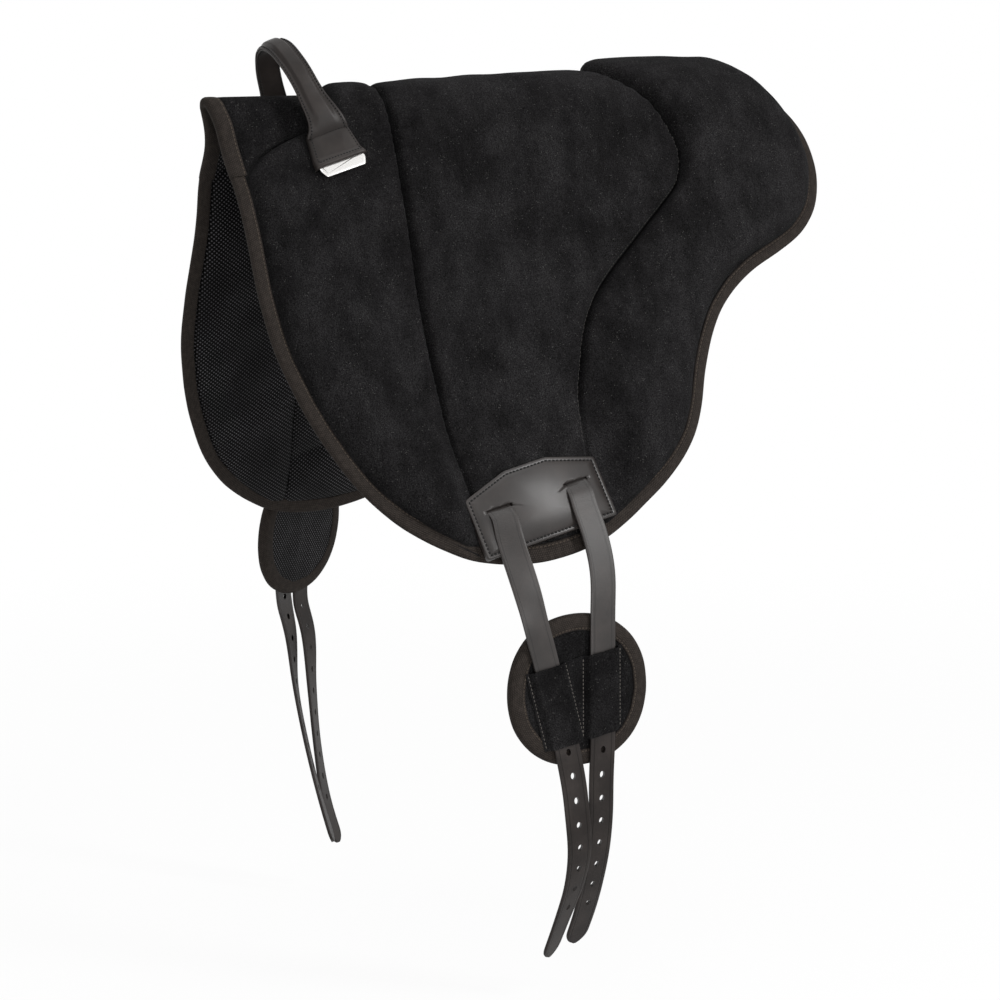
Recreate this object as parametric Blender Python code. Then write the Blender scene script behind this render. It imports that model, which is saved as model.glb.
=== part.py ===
"""Bareback riding pad with a grab handle, girth billets and billet guards.

The pad is drawn flat, with y running from the pommel to the cantle and d running down each side from
the ridge, and is then bent over a ridge whose radius grows evenly towards the cantle. World X is to
the horse's left, Y to its tail and Z up. The origin is under the ridge, where the horse's back sits.
"""
import math

import bmesh
import bpy
import numpy as np
from mathutils import Vector

# Pad as it is cut flat, in metres
PAD_LENGTH = 0.581
FLAP_DROP = 0.4555
BOTTOM_SAG = 0.013
SAG_START = 0.330
MOUNT_PLACE = 0.290

# The shape that it is bent to
RIDGE_RADIUS_FRONT = 0.008
RIDGE_RADIUS_REAR = 0.104
SIDE_LEAN = math.radians(26.5)
FAR_PULL = 0.0125
RIDGE_RISE = 0.018
PINCH = 0.011
PINCH_DEPTH = 0.050
PINCH_REACH = 0.028
PINCH_LENGTH = 0.110

# Layers, counted outwards from the horse's back
LINING_THICKNESS = 0.0030
COVER_THICKNESS = 0.0012
LAYER_GAP = 0.0003
FRONT_FOAM = 0.0120
SEAT_FOAM = 0.0120
SEAT_FOAM_REAR = 0.0205
REAR_FOAM = 0.0290
FLAP_FOAM = 0.0165
PLATE_FOAM = 0.0050
FOAM_ROLL = 0.022
REAR_ROLL = 0.040
FOAM_CROWN_SHARE = 0.10
SEAM_HEIGHT_SHARE = 0.62
RIM_HEIGHT_SHARE = 0.14
SEAM_GAP = 0.0012
FOAM_INSET = 0.0160
BOTTOM_INSET = 0.0210
CORNER_INSET = 0.0060
NARROWEST_PANEL = 0.0040
PLATE_TAPER_START = 0.285
PLATE_TAPER_END = 0.3475

# Binding tape, folded round the edges
BINDING_LEG = 0.0110
BINDING_THICKNESS = 0.0011
BINDING_END_GAP = 0.0016

# Fold of the flaps, which swing out and in
FOLD_DROP = 0.124
FOLD_AXIS_HEIGHT = 0.0100
FOLD_GAP = 0.0008
FOLD_OUT = math.radians(15.0)
FOLD_IN = math.radians(8.0)
FOLD_MARGIN = math.radians(1.0)

# Girth plate with its two billet slots
PLATE_WIDTH = 0.130
PLATE_SIDE = 0.057
PLATE_PEAK = 0.014
PLATE_THICKNESS = 0.0024
PLATE_TURN = math.radians(9.7)
PLATE_FRONT = 0.1645
PLATE_BOTTOM = 0.4635
PLATE_CORNER = 0.0032
SLOT_WIDTH = 0.028
SLOT_HEIGHT = 0.0050
SLOT_CORNER = 0.0022
SLOT_ABOVE_BOTTOM = 0.040
SLOT_SPACING = 0.076
PLATE_SAMPLES = 25

# Billets
BILLET_WIDTH = 0.025
BILLET_THICKNESS = 0.0032
BILLET_HANG = 0.080
BILLET_TAIL = 0.174
BILLET_TWIST = math.radians(62.0)
BILLET_STATIONS = 34
HOLE_DIAMETER = 0.0054
HOLE_SIDES = 8
HOLE_PITCH = 0.022
FRONT_HOLES = 11
REAR_HOLES = 11
LAST_HOLE_TO_TIP = (0.057, 0.048)

# Billet guard
GUARD_HALF_WIDTH = 0.0667
GUARD_HALF_HEIGHT = 0.0652
GUARD_SQUARENESS = 2.15
GUARD_SIDES = 40
GUARD_FACE = 0.0012
GUARD_CORE = 0.0030
GUARD_LINING = 0.0018
GUARD_BEHIND = 0.0030
STRAIGHT_BELOW = 0.012
LEAD_SLOPES = (-0.22, 0.0)
TAIL_SLOPES = (0.22, -0.04)
TUNNEL_CLEARANCE = 0.0040
TUNNEL_HEADROOM = 0.0010
TUNNEL_SLOPE = 0.0022
KEEPER_TOP = 0.029
KEEPER_BOTTOM = 0.044
KEEPER_SLOPE = 0.20
KEEPER_MARGIN = 0.0038
KEEPER_THICKNESS = 0.0012
LEFT_GUARD_CENTRE = (0.2460, -0.0440, -0.5140)
RIGHT_GUARD_CENTRE = (-0.2690, -0.0810, -0.4250)
RIGHT_GUARD_TURN = math.radians(32.5)
RIGHT_GUARD_LEAN = math.radians(7.5)
RIGHT_GUARD_TILT = math.radians(5.0)
GUARD_PLACES = {1: (LEFT_GUARD_CENTRE, 0.0, 0.0, 0.0),
                -1: (RIGHT_GUARD_CENTRE, RIGHT_GUARD_TURN, RIGHT_GUARD_LEAN, RIGHT_GUARD_TILT)}

# Handle and dees
HANDLE_WIDTH = 0.024
HANDLE_FOOT_WIDTH = 0.037
HANDLE_LEATHER = 0.0015
HANDLE_CORE = 0.0026
HANDLE_RISE = 0.077
HANDLE_FORWARD = 0.030
HANDLE_LIFT = 0.0042
HANDLE_FOOT_GAP = 0.0006
HANDLE_STATIONS = 25
PATCH_THICKNESS = 0.0026
PATCH_SEAT = 0.0008
PATCH_COLUMNS = 5
PATCH_ROWS = 4
DEE_WIDTH = 0.046
DEE_LEG = 0.0036
DEE_BAR = 0.0026
DEE_BAND = 0.0085
DEE_THICKNESS = 0.0024
DEE_CORNER = 0.0012
DEE_TAPER = 0.0030
DEE_SIDE_GAP = 0.0010
CHAPE_WALL = 0.0012
CHAPE_CLEARANCE = 0.0008
CHAPE_SIDES = 14

OVERRUN = 0.010

# Curves on the flat pad, each a list of (share of the flap's drop, share of the pad's length)
FRONT_EDGE_SHARES = ((0.0, 0.002), (0.062, 0.017), (0.18, 0.023), (0.27, 0.026), (0.45, 0.027),
                     (0.54, 0.034), (0.62, 0.049), (0.69, 0.066), (0.766, 0.091), (0.83, 0.117),
                     (0.882, 0.146), (0.927, 0.180), (0.967, 0.221), (1.0, 0.262))
REAR_EDGE_SHARES = ((0.0, 0.962), (0.08, 0.967), (0.155, 0.981), (0.222, 0.993), (0.29, 0.998),
                    (0.345, 0.990), (0.395, 0.971), (0.438, 0.936), (0.467, 0.893), (0.496, 0.843),
                    (0.531, 0.803), (0.567, 0.773), (0.613, 0.747), (0.656, 0.729), (0.711, 0.710),
                    (0.777, 0.691), (0.831, 0.668), (0.878, 0.636), (0.916, 0.600), (0.951, 0.558),
                    (0.973, 0.531), (1.0, 0.492))
FRONT_SEAM_SHARES = ((0.0, 0.284), (0.14, 0.284), (0.32, 0.276), (0.50, 0.264), (0.65, 0.262),
                     (0.78, 0.272), (0.89, 0.286), (1.0, 0.292))
REAR_SEAM_SHARES = ((0.0, 0.662), (0.067, 0.694), (0.122, 0.724), (0.178, 0.740), (0.233, 0.748),
                    (0.271, 0.744), (0.311, 0.729), (0.344, 0.702), (0.382, 0.668), (0.427, 0.628),
                    (0.467, 0.592), (0.507, 0.561), (0.556, 0.534), (0.611, 0.513), (0.69, 0.495),
                    (0.78, 0.487), (1.0, 0.478))
# How much of FAR_PULL the right side hangs closer in, by share of the flap's drop
FAR_PULL_SHARES = ((0.0, 0.0), (0.13, 0.0), (0.26, 1.0), (0.72, 1.0), (1.0, 0.45))
FOAM_FRONT_SHARES = ((0.0, 0.205), (0.055, 0.190), (0.085, 0.168), (0.10, 0.146), (0.116, 0.124),
                     (0.134, 0.098), (0.16, 0.069), (0.19, 0.049))

# Top edge of the girth plate from rear to front: shares of its width and of its peak
PLATE_TOP_SHARES = ((0.68, 0.84), (0.59, 0.96), (0.5, 1.0), (0.41, 0.96), (0.32, 0.84))
# Corners of a handle patch, each a pair of shares of the pad's length: along the pad and down its side
PATCH_SHARES = ((0.138, 0.098), (0.203, 0.081), (0.224, 0.1325), (0.139, 0.153))
# Half of the handle's line: shares of its foot's distance out, of its lean forward and of its rise
HANDLE_SHARES = ((1.0, 0.0, 0.0), (0.8, 0.36, 0.40), (0.53, 0.76, 0.78), (0.22, 0.96, 0.965), (0.0, 1.0, 1.0))
# Section of the handle's leather, which rises over its core: shares of the width and of the rise
HANDLE_OUTER_SHARES = ((-0.5, 0.0), (-0.37, 0.0), (-0.29, 1.0), (0.29, 1.0), (0.37, 0.0), (0.5, 0.0))
HANDLE_INNER_SHARES = ((0.5, 0.0), (0.34, 0.0), (0.26, 1.0), (-0.26, 1.0), (-0.34, 0.0), (-0.5, 0.0))
HANDLE_CAPS = ((0, 1, 10, 11), (1, 2, 9, 10), (2, 3, 8, 9), (3, 4, 7, 8), (4, 5, 6, 7))
HANDLE_CORE_SHARE = 0.46
HANDLE_UNDERLAY_SHARE = 1.0
HANDLE_FLARE_SHARE = 0.6
HANDLE_FLARE_LENGTH_SHARE = 0.22
# Line of each billet across the guard, at the keeper's top and bottom, as shares of the half width
TUNNEL_SHARES = ((-0.54, -0.235), (0.31, 0.318))
BILLET_TIP_SHARES = ((0.968, 1.0), (0.984, 0.72), (1.0, 0.24))
# Way of each billet from its slot to the guard: shares of BILLET_HANG down, back and out
LEAD_SHARES = {1: (((0.33, 0.018, 0.20), (0.74, 0.104, 0.33), (0.96, 0.150, 0.39)),
                   ((0.285, 0.034, 0.17), (0.56, 0.08, 0.29), (0.93, 0.12, 0.385))),
               -1: (((-0.03, -0.01, 0.22),),
                    ((-0.04, -0.06, 0.32), (0.06, -0.12, 0.62)))}
# Way of each billet below the guard: shares of BILLET_TAIL down, back and inward, and of BILLET_TWIST
TAIL_SHARES = {1: (((0.190, 0.015, -0.020, 0.02), (0.370, 0.051, 0.021, 0.10), (0.569, 0.070, 0.107, 0.28),
                    (0.751, 0.062, 0.205, 0.42), (0.986, 0.041, 0.325, 0.50)),
                   ((0.222, 0.026, 0.049, 0.03), (0.403, 0.040, 0.101, 0.08), (0.598, 0.050, 0.182, 0.13),
                    (0.779, 0.062, 0.285, 0.17), (0.945, 0.052, 0.371, 0.20))),
               -1: (((0.155, 0.022, 0.031, 0.62), (0.497, 0.034, 0.081, 0.95), (0.833, 0.069, 0.158, 1.0),
                     (1.170, 0.118, 0.256, 1.0), (1.385, 0.164, 0.310, 0.97)),
                    ((0.187, 0.031, 0.040, 0.52), (0.532, 0.036, 0.087, 0.77), (0.871, 0.046, 0.135, 0.84),
                     (1.213, 0.078, 0.195, 0.74), (1.443, 0.125, 0.250, 0.66)))}

ROOT_ROW_SHARES = (0.0, 0.05, 0.11, 0.2, 0.31, 0.43, 0.55, 0.72, 1.0)
FLAP_ROW_SHARES = (0.0, 0.085, 0.17, 0.245, 0.31, 0.385, 0.48, 0.6, 0.72, 0.84, 0.93)
SMALL_PANEL_SHARES = (0.0, 0.16, 0.5, 0.84, 1.0)
SEAT_PANEL_SHARES = (0.0, 0.08, 0.27, 0.5, 0.73, 0.92, 1.0)

SUEDE = ((0.030, 0.031, 0.034), 0.95, 0.0)
FOAM = ((0.55, 0.53, 0.45), 0.90, 0.0)
MESH = ((0.050, 0.050, 0.055), 0.85, 0.0)
TAPE = ((0.060, 0.052, 0.046), 0.80, 0.0)
LEATHER = ((0.055, 0.052, 0.052), 0.42, 0.0)
NICKEL = ((0.78, 0.77, 0.75), 0.22, 1.0)


def clear_scene():
    for item in list(bpy.data.objects):
        bpy.data.objects.remove(item, do_unlink=True)


def finish(name, bm, look):
    """Turn a bmesh into a named object with its own material."""
    bmesh.ops.triangulate(bm, faces=[face for face in bm.faces if len(face.verts) > 3])
    bmesh.ops.recalc_face_normals(bm, faces=bm.faces)
    mesh = bpy.data.meshes.new(name)
    bm.to_mesh(mesh)
    bm.free()
    item = bpy.data.objects.new(name, mesh)
    bpy.context.collection.objects.link(item)
    colour, roughness, metallic = look
    material = bpy.data.materials.new(name)
    material.use_nodes = True
    shader = material.node_tree.nodes["Principled BSDF"]
    shader.inputs["Base Color"].default_value = (*colour, 1.0)
    shader.inputs["Roughness"].default_value = roughness
    shader.inputs["Metallic"].default_value = metallic
    mesh.materials.append(material)
    mesh.shade_smooth()
    mesh.set_sharp_from_angle(angle=math.radians(35.0))
    return item


def along(places, values, at):
    """Read a smooth curve through (place, value) points at the given places."""
    places = np.asarray(places, float)
    values = np.asarray(values, float)
    at = np.clip(np.asarray(at, float), places[0], places[-1])
    steps = np.diff(places)
    rates = np.diff(values, axis=0) / (steps[:, None] if values.ndim > 1 else steps)
    slopes = np.empty_like(values)
    slopes[0] = rates[0]
    slopes[-1] = rates[-1]
    inner = steps[:-1] + steps[1:]
    first = (steps[1:] / inner)[:, None] if values.ndim > 1 else steps[1:] / inner
    slopes[1:-1] = rates[:-1] * first + rates[1:] * (1.0 - first)
    index = np.clip(np.searchsorted(places, at, side="right") - 1, 0, len(steps) - 1)
    step = steps[index]
    t = (at - places[index]) / step
    if values.ndim > 1:
        t = t[..., None]
        step = step[..., None]
    start, end = values[index], values[index + 1]
    a = 2 * t**3 - 3 * t**2 + 1
    b = t**3 - 2 * t**2 + t
    c = -2 * t**3 + 3 * t**2
    e = t**3 - t**2
    return a * start + b * step * slopes[index] + c * end + e * step * slopes[index + 1]


def drop_curve(shares, drop):
    """Read a curve whose places are shares of the flap's drop."""
    table = np.array(shares)
    return along(table[:, 0] * FLAP_DROP, table[:, 1], np.abs(drop))


def curve_at(shares, drop):
    """Place along the pad of one of the flat curves, at the given drop below the ridge."""
    table = np.array(shares)
    return along(table[:, 0] * FLAP_DROP, table[:, 1] * PAD_LENGTH, np.abs(drop))


def inset_from(shares, drop, inset):
    """An edge curve moved along the pad, so that it lies the given inset from it, measured square to it."""
    drop = np.abs(drop)
    reach = FOAM_INSET / 2
    before = np.maximum(drop - reach, 0.0)
    after = np.minimum(drop + reach, FLAP_DROP)
    slope = (curve_at(shares, after) - curve_at(shares, before)) / (after - before)
    low = np.clip((drop - PLATE_TAPER_START) / (FLAP_DROP - PLATE_TAPER_START), 0.0, 1.0)
    inset = inset + math.copysign(CORNER_INSET, inset) * low**2
    return curve_at(shares, drop) + inset * np.sqrt(1.0 + slope**2)


def bend(y, d, height):
    """Bend flat places over the ridge: y along the pad, d down its side (left positive), height out."""
    y, d, height = np.broadcast_arrays(*(np.asarray(value, float) for value in (y, d, height)))
    radius = RIDGE_RADIUS_FRONT + (RIDGE_RADIUS_REAR - RIDGE_RADIUS_FRONT) * y / PAD_LENGTH
    full_turn = math.pi / 2 - SIDE_LEAN
    reach = np.abs(d)
    turn = np.minimum(reach / radius, full_turn)
    straight = np.maximum(reach - radius * full_turn, 0.0)
    pinch = PINCH * np.exp(-((reach - PINCH_DEPTH) / PINCH_REACH) ** 2)
    pinch = pinch * np.clip(1.0 - y / PINCH_LENGTH, 0.0, 1.0)
    pull = np.where(d < 0.0, FAR_PULL * drop_curve(FAR_PULL_SHARES, reach), 0.0)
    out = (radius + height) * np.sin(turn) + straight * math.sin(SIDE_LEAN) - pinch - pull
    up = (radius + height) * np.cos(turn) - radius - straight * math.cos(SIDE_LEAN)
    up = up + RIDGE_RISE * (y - MOUNT_PLACE) / PAD_LENGTH
    return np.stack([np.sign(d) * out, y - MOUNT_PLACE, up], axis=-1)


def roll(distance, reach=FOAM_ROLL):
    """Rise of a foam panel away from its edge: a quarter round, then level."""
    share = np.clip(distance / reach, 0.0, 1.0)
    return np.sqrt(1.0 - (1.0 - share) ** 2)


def foam_end():
    return FLAP_DROP - BOTTOM_INSET


def row_sag(y, drop):
    """Extra drop of the lowest rows in the middle, which rounds the flap's bottom edge."""
    front = curve_at(FRONT_EDGE_SHARES, drop)
    rear = curve_at(REAR_EDGE_SHARES, drop)
    place = np.clip((y - front) / (rear - front), 0.0, 1.0)
    reach = np.clip((drop - SAG_START) / (FLAP_DROP - SAG_START), 0.0, 1.0)
    return BOTTOM_SAG * reach**2 * (1.0 - (2.0 * place - 1.0) ** 2)


def panel_edges(panel, drop):
    """Front and rear edge of a foam panel at a drop, both inside the seams or the rim."""
    drop = np.abs(drop)
    rim = inset_from(FRONT_EDGE_SHARES, drop, FOAM_INSET)
    table = np.array(FOAM_FRONT_SHARES)
    pommel = along(table[:, 0] * FLAP_DROP, table[:, 1] * PAD_LENGTH, drop)
    front_seam = curve_at(FRONT_SEAM_SHARES, drop)
    rear_seam = curve_at(REAR_SEAM_SHARES, drop)
    first = np.where(drop < table[-1, 0] * FLAP_DROP, np.maximum(pommel, rim), rim)
    last = inset_from(REAR_EDGE_SHARES, drop, -FOAM_INSET)
    edges = {
        "front": (np.minimum(first, front_seam - SEAM_GAP / 2 - NARROWEST_PANEL), front_seam - SEAM_GAP / 2),
        "seat": (front_seam + SEAM_GAP / 2, rear_seam - SEAM_GAP / 2),
        "rear": (rear_seam + SEAM_GAP / 2, np.maximum(last, rear_seam + SEAM_GAP / 2 + NARROWEST_PANEL)),
    }
    return edges[panel]


def foam_height(panel, y, drop):
    """Height of a foam panel: crowned, rolled down at its rim and drawn in at its seams."""
    drop = np.abs(drop)
    front, rear = panel_edges(panel, drop)
    width = rear - front
    place = np.clip((y - front) / width, 0.0, 1.0)
    seat = SEAT_FOAM + (SEAT_FOAM_REAR - SEAT_FOAM) * place
    top = {"front": FRONT_FOAM, "seat": seat, "rear": REAR_FOAM}[panel]
    side = np.clip((drop - FOLD_DROP) / FOLD_DROP, 0.0, 1.0)
    full = top + (FLAP_FOAM - top) * side
    low = np.clip((drop - PLATE_TAPER_START) / (PLATE_TAPER_END - PLATE_TAPER_START), 0.0, 1.0)
    full = full + (PLATE_FOAM - full) * low
    front_share = RIM_HEIGHT_SHARE if panel == "front" else SEAM_HEIGHT_SHARE
    rear_share = RIM_HEIGHT_SHARE if panel == "rear" else SEAM_HEIGHT_SHARE
    rise = front_share + (1.0 - front_share) * roll(y - front)
    fall = rear_share + (1.0 - rear_share) * roll(rear - y, REAR_ROLL if panel == "rear" else FOAM_ROLL)
    bottom = RIM_HEIGHT_SHARE + (1.0 - RIM_HEIGHT_SHARE) * roll(foam_end() - drop)
    crown = 1.0 + FOAM_CROWN_SHARE * np.sin(math.pi * place)
    return full * rise * fall * bottom * crown


def fold_cut(height):
    """Distance of a cut face from the fold line, which leaves room for the flap to swing."""
    out = math.tan((FOLD_OUT + FOLD_MARGIN) / 2)
    inward = math.tan((FOLD_IN + FOLD_MARGIN) / 2)
    lift = height - FOLD_AXIS_HEIGHT
    return FOLD_GAP / 2 + np.maximum(lift, 0.0) * out + np.maximum(-lift, 0.0) * inward


def root_rows():
    half = [share * FOLD_DROP for share in ROOT_ROW_SHARES]
    return np.array([-drop for drop in reversed(half[1:])] + half)


def flap_rows():
    return np.array([FOLD_DROP + share * (foam_end() - FOLD_DROP) for share in FLAP_ROW_SHARES] + [foam_end()])


def lay(y, drop, height):
    """Bend one sheet of points, with its rows cut back at the fold."""
    reach = np.abs(drop)
    at_fold = np.isclose(reach, FOLD_DROP)
    inside = np.max(reach) <= FOLD_DROP + FOLD_GAP
    shift = np.where(at_fold, fold_cut(height), 0.0)
    placed = reach + (-shift if inside else shift) + row_sag(y, reach)
    return bend(y, np.sign(drop) * placed, height)


def slab(name, low, high, look):
    """One closed solid between two sheets of points with the same rows and columns."""
    rows, columns = low.shape[:2]
    bm = bmesh.new()
    sheets = []
    for sheet in (low, high):
        sheets.append([bm.verts.new(point) for point in sheet.reshape(-1, 3)])
    for row in range(rows - 1):
        for column in range(columns - 1):
            a = row * columns + column
            b, c, e = a + 1, a + columns + 1, a + columns
            for verts in sheets:
                bm.faces.new([verts[a], verts[b], verts[c]])
                bm.faces.new([verts[a], verts[c], verts[e]])
    ring = [column for column in range(columns)]
    ring += [row * columns + columns - 1 for row in range(1, rows)]
    ring += [(rows - 1) * columns + column for column in range(columns - 2, -1, -1)]
    ring += [row * columns for row in range(rows - 2, 0, -1)]
    for here, after in zip(ring, ring[1:] + ring[:1]):
        bm.faces.new([sheets[0][here], sheets[0][after], sheets[1][after]])
        bm.faces.new([sheets[0][here], sheets[1][after], sheets[1][here]])
    return finish(name, bm, look)


def foam_panel(name, panel, rows, shares):
    drop = rows[:, None] * np.ones(len(shares))
    front, rear = panel_edges(panel, drop)
    y = front + (rear - front) * np.array(shares)
    base = LINING_THICKNESS + LAYER_GAP
    low = lay(y, drop, base * np.ones_like(y))
    high = lay(y, drop, base + foam_height(panel, y, drop))
    return slab(name, low, high, FOAM)


def full_columns(rows, pommel):
    """Columns of the cover and lining: rim, panels and seams, with the height of what lies under."""
    places, heights = [], []
    drop = np.abs(rows)
    front_edge = curve_at(FRONT_EDGE_SHARES, drop)
    foam_front = panel_edges("front", drop)[0]
    thin = [front_edge, foam_front - SEAM_GAP]
    if pommel:
        rim = front_edge + BINDING_LEG
        thin[1:1] = [rim, (rim + thin[1]) / 2]
    for y in thin:
        places.append(y)
        heights.append(np.zeros_like(drop))
    panels = (("front", SMALL_PANEL_SHARES), ("seat", SEAT_PANEL_SHARES), ("rear", SMALL_PANEL_SHARES))
    for panel, shares in panels:
        front, rear = panel_edges(panel, drop)
        for share in shares:
            y = front + (rear - front) * share
            places.append(y)
            heights.append(foam_height(panel, y, drop))
    places.append(panel_edges("rear", drop)[1] + SEAM_GAP)
    heights.append(np.zeros_like(drop))
    places.append(curve_at(REAR_EDGE_SHARES, drop))
    heights.append(np.zeros_like(drop))
    return np.stack(places, axis=1), np.stack(heights, axis=1)


def skins(cover_name, lining_name, rows, pommel, rim_rows):
    """The suede cover over the foam and the mesh lining under it."""
    places, heights = full_columns(rows, pommel)
    drop = rows[:, None] * np.ones(places.shape[1])
    if len(rim_rows):
        rim_places, rim_heights = full_columns(rim_rows, pommel)
        places = np.concatenate([places, rim_places])
        heights = np.concatenate([heights, rim_heights * 0.0])
        side = np.sign(rows[-1])
        drop = np.concatenate([drop, side * rim_rows[:, None] * np.ones(places.shape[1])])
    floor = LINING_THICKNESS + LAYER_GAP
    under = floor + np.where(heights > 0.0, heights + LAYER_GAP, 0.0)
    slab(cover_name, lay(places, drop, under), lay(places, drop, under + COVER_THICKNESS), SUEDE)
    flat = np.zeros_like(places)
    slab(lining_name, lay(places, drop, flat), lay(places, drop, flat + LINING_THICKNESS), MESH)


# Faces of the tape's section that lie on the cover and under the lining
BINDING_TOP_FACE = 6
BINDING_LOW_FACE = 8
# How the U-shaped ends of the tape are filled
BINDING_CAPS = ((0, 1, 8, 9), (1, 2, 8), (2, 3, 7, 8), (3, 4, 7), (4, 5, 6, 7))


def cover_rim_height():
    return LINING_THICKNESS + LAYER_GAP + COVER_THICKNESS


def binding(name, path, inward, turned=()):
    """Tape folded over an edge: a U section carried along flat points, each with its inward way."""
    top = cover_rim_height() + LAYER_GAP
    low = -LAYER_GAP
    wall = BINDING_THICKNESS
    profile = ((BINDING_LEG, low - wall), (-LAYER_GAP, low - wall), (-LAYER_GAP - wall, low),
               (-LAYER_GAP - wall, top), (-LAYER_GAP, top + wall), (BINDING_LEG, top + wall),
               (BINDING_LEG, top), (-LAYER_GAP, top), (-LAYER_GAP, low), (BINDING_LEG, low))
    sheets = []
    for reach, height in profile:
        flat = path + inward * reach
        sheets.append(bend(flat[:, 0], flat[:, 1], height))
    tube(name, np.stack(sheets, axis=1), TAPE, turned=turned, caps=BINDING_CAPS)


def tube(name, rings, look, closed=False, turned=(), caps=()):
    """Join rings of points into one solid, with filled ends unless the rings close on themselves.

    The faces whose number is in turned are split along their other diagonal.
    """
    bm = bmesh.new()
    verts = [[bm.verts.new(point) for point in ring] for ring in rings]
    count = len(verts[0])
    pairs = list(zip(verts, verts[1:]))
    if closed:
        pairs.append((verts[-1], verts[0]))
    for first, second in pairs:
        for index in range(count):
            after = (index + 1) % count
            corners = [first[index], first[after], second[after], second[index]]
            if index in turned:
                corners = corners[1:] + corners[:1]
            bm.faces.new(corners[:3])
            bm.faces.new([corners[0], corners[2], corners[3]])
    if not closed:
        for ring, way in ((verts[0], 1), (verts[-1], -1)):
            for cap in caps or (tuple(range(count)),):
                bm.faces.new([ring[index] for index in cap][::way])
    return finish(name, bm, look)


def inward_of(path, flip):
    """Unit normals of a flat path, turned to one side, and square to the fold at its two ends."""
    step = np.gradient(path, axis=0)
    step = step / np.linalg.norm(step, axis=1)[:, None]
    inward = np.stack([step[:, 1], -step[:, 0]], axis=1) * flip
    for end in (0, -1):
        inward[end] = (np.sign(inward[end, 0]), 0.0)
    return inward


def flap_outline(side):
    """Flat points of a flap's edge from the front of the fold, round the bottom, to its rear."""
    rows = np.append(flap_rows(), FLAP_DROP)
    rows[0] = rows[0] + BINDING_END_GAP
    front = np.stack([curve_at(FRONT_EDGE_SHARES, rows), rows], axis=1)
    rear = np.stack([curve_at(REAR_EDGE_SHARES, rows), rows], axis=1)[::-1]
    places, _ = full_columns(np.array([FLAP_DROP]), False)
    across = places[0, 1:-1]
    across = across[np.append(True, np.diff(across) > 2 * SEAM_GAP)]
    bottom = np.stack([across, FLAP_DROP + row_sag(across, FLAP_DROP)], axis=1)
    path = np.concatenate([front, bottom, rear])
    return path * np.array([1.0, side])


def make_root():
    rows = root_rows()
    skins("seat_cover", "seat_lining", rows, True, np.array([]))
    foam_panel("front_foam", "front", rows, SMALL_PANEL_SHARES)
    foam_panel("seat_foam", "seat", rows, SEAT_PANEL_SHARES)
    foam_panel("rear_foam", "rear", rows, SMALL_PANEL_SHARES)
    drop = rows.copy()
    drop[0] = drop[0] + BINDING_END_GAP
    drop[-1] = drop[-1] - BINDING_END_GAP
    front = np.stack([curve_at(FRONT_EDGE_SHARES, drop), drop], axis=1)
    tailwards = np.zeros_like(front) + (1.0, 0.0)
    binding("front_arch_binding", front, tailwards, (BINDING_TOP_FACE,))
    rear = np.stack([curve_at(REAR_EDGE_SHARES, drop), drop], axis=1)
    binding("cantle_binding", rear, -tailwards, (BINDING_LOW_FACE,))


def make_flap(side, label):
    rows = flap_rows() * side
    skins(f"{label}_flap_cover", f"{label}_flap_lining", rows, False, np.array([foam_end() + SEAM_GAP, FLAP_DROP]))
    foam_panel(f"{label}_front_foam", "front", rows, SMALL_PANEL_SHARES)
    foam_panel(f"{label}_thigh_foam", "seat", rows, SEAT_PANEL_SHARES)
    foam_panel(f"{label}_rear_foam", "rear", rows, SMALL_PANEL_SHARES)
    path = flap_outline(side)
    binding(f"{label}_flap_binding", path, inward_of(path, side))


def plate_height():
    """Height of the girth plate's underside: clear of the highest cover point beneath it."""
    across = PLATE_WIDTH * np.linspace(0.0, 1.0, PLATE_SAMPLES)
    above = (PLATE_SIDE + PLATE_PEAK) * np.linspace(0.0, 1.0, PLATE_SAMPLES)
    y, drop = plate_place(across[None, :], above[:, None])
    drop = np.minimum(drop, foam_end())
    tops = []
    for panel in ("front", "seat", "rear"):
        front, rear = panel_edges(panel, drop)
        inside = (y >= front) & (y <= rear)
        tops.append(np.where(inside, foam_height(panel, y, drop), 0.0).max())
    return LINING_THICKNESS + LAYER_GAP + max(tops) + LAYER_GAP + COVER_THICKNESS + LAYER_GAP


def plate_place(across, above):
    """Flat place of a point given across the girth plate and above its bottom edge."""
    y = PLATE_FRONT + across * math.cos(PLATE_TURN) - above * math.sin(PLATE_TURN)
    d = PLATE_BOTTOM - across * math.sin(PLATE_TURN) - above * math.cos(PLATE_TURN)
    return y, d


def slot_centre(number):
    return (PLATE_WIDTH + (2 * number - 1) * SLOT_SPACING) / 2, SLOT_ABOVE_BOTTOM


def loop_of(bm, points):
    verts = [bm.verts.new(point) for point in points]
    return [bm.edges.new([verts[index - 1], verts[index]]) for index in range(len(verts))]


def pierced_sheet(bm, outline, holes):
    """Fill a flat outline with holes in it."""
    edges = loop_of(bm, outline)
    for hole in holes:
        edges += loop_of(bm, hole)
    bmesh.ops.triangle_fill(bm, use_beauty=True, edges=edges)


def thicken(bm, offset):
    """Give the sheet in a bmesh its thickness, along one direction."""
    grown = bmesh.ops.extrude_face_region(bm, geom=list(bm.faces), use_keep_orig=True)
    moved = [item for item in grown["geom"] if isinstance(item, bmesh.types.BMVert)]
    bmesh.ops.translate(bm, verts=moved, vec=Vector(offset))


def round_box(width, height, radius, steps):
    """Points of a box with round corners, centred on zero."""
    points = []
    for turn, (x_sign, y_sign) in enumerate(((1, 1), (-1, 1), (-1, -1), (1, -1))):
        centre = (x_sign * (width / 2 - radius), y_sign * (height / 2 - radius))
        for step in range(steps + 1):
            angle = math.pi / 2 * (turn + step / steps)
            points.append((centre[0] + radius * math.cos(angle), centre[1] + radius * math.sin(angle)))
    return points


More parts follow.
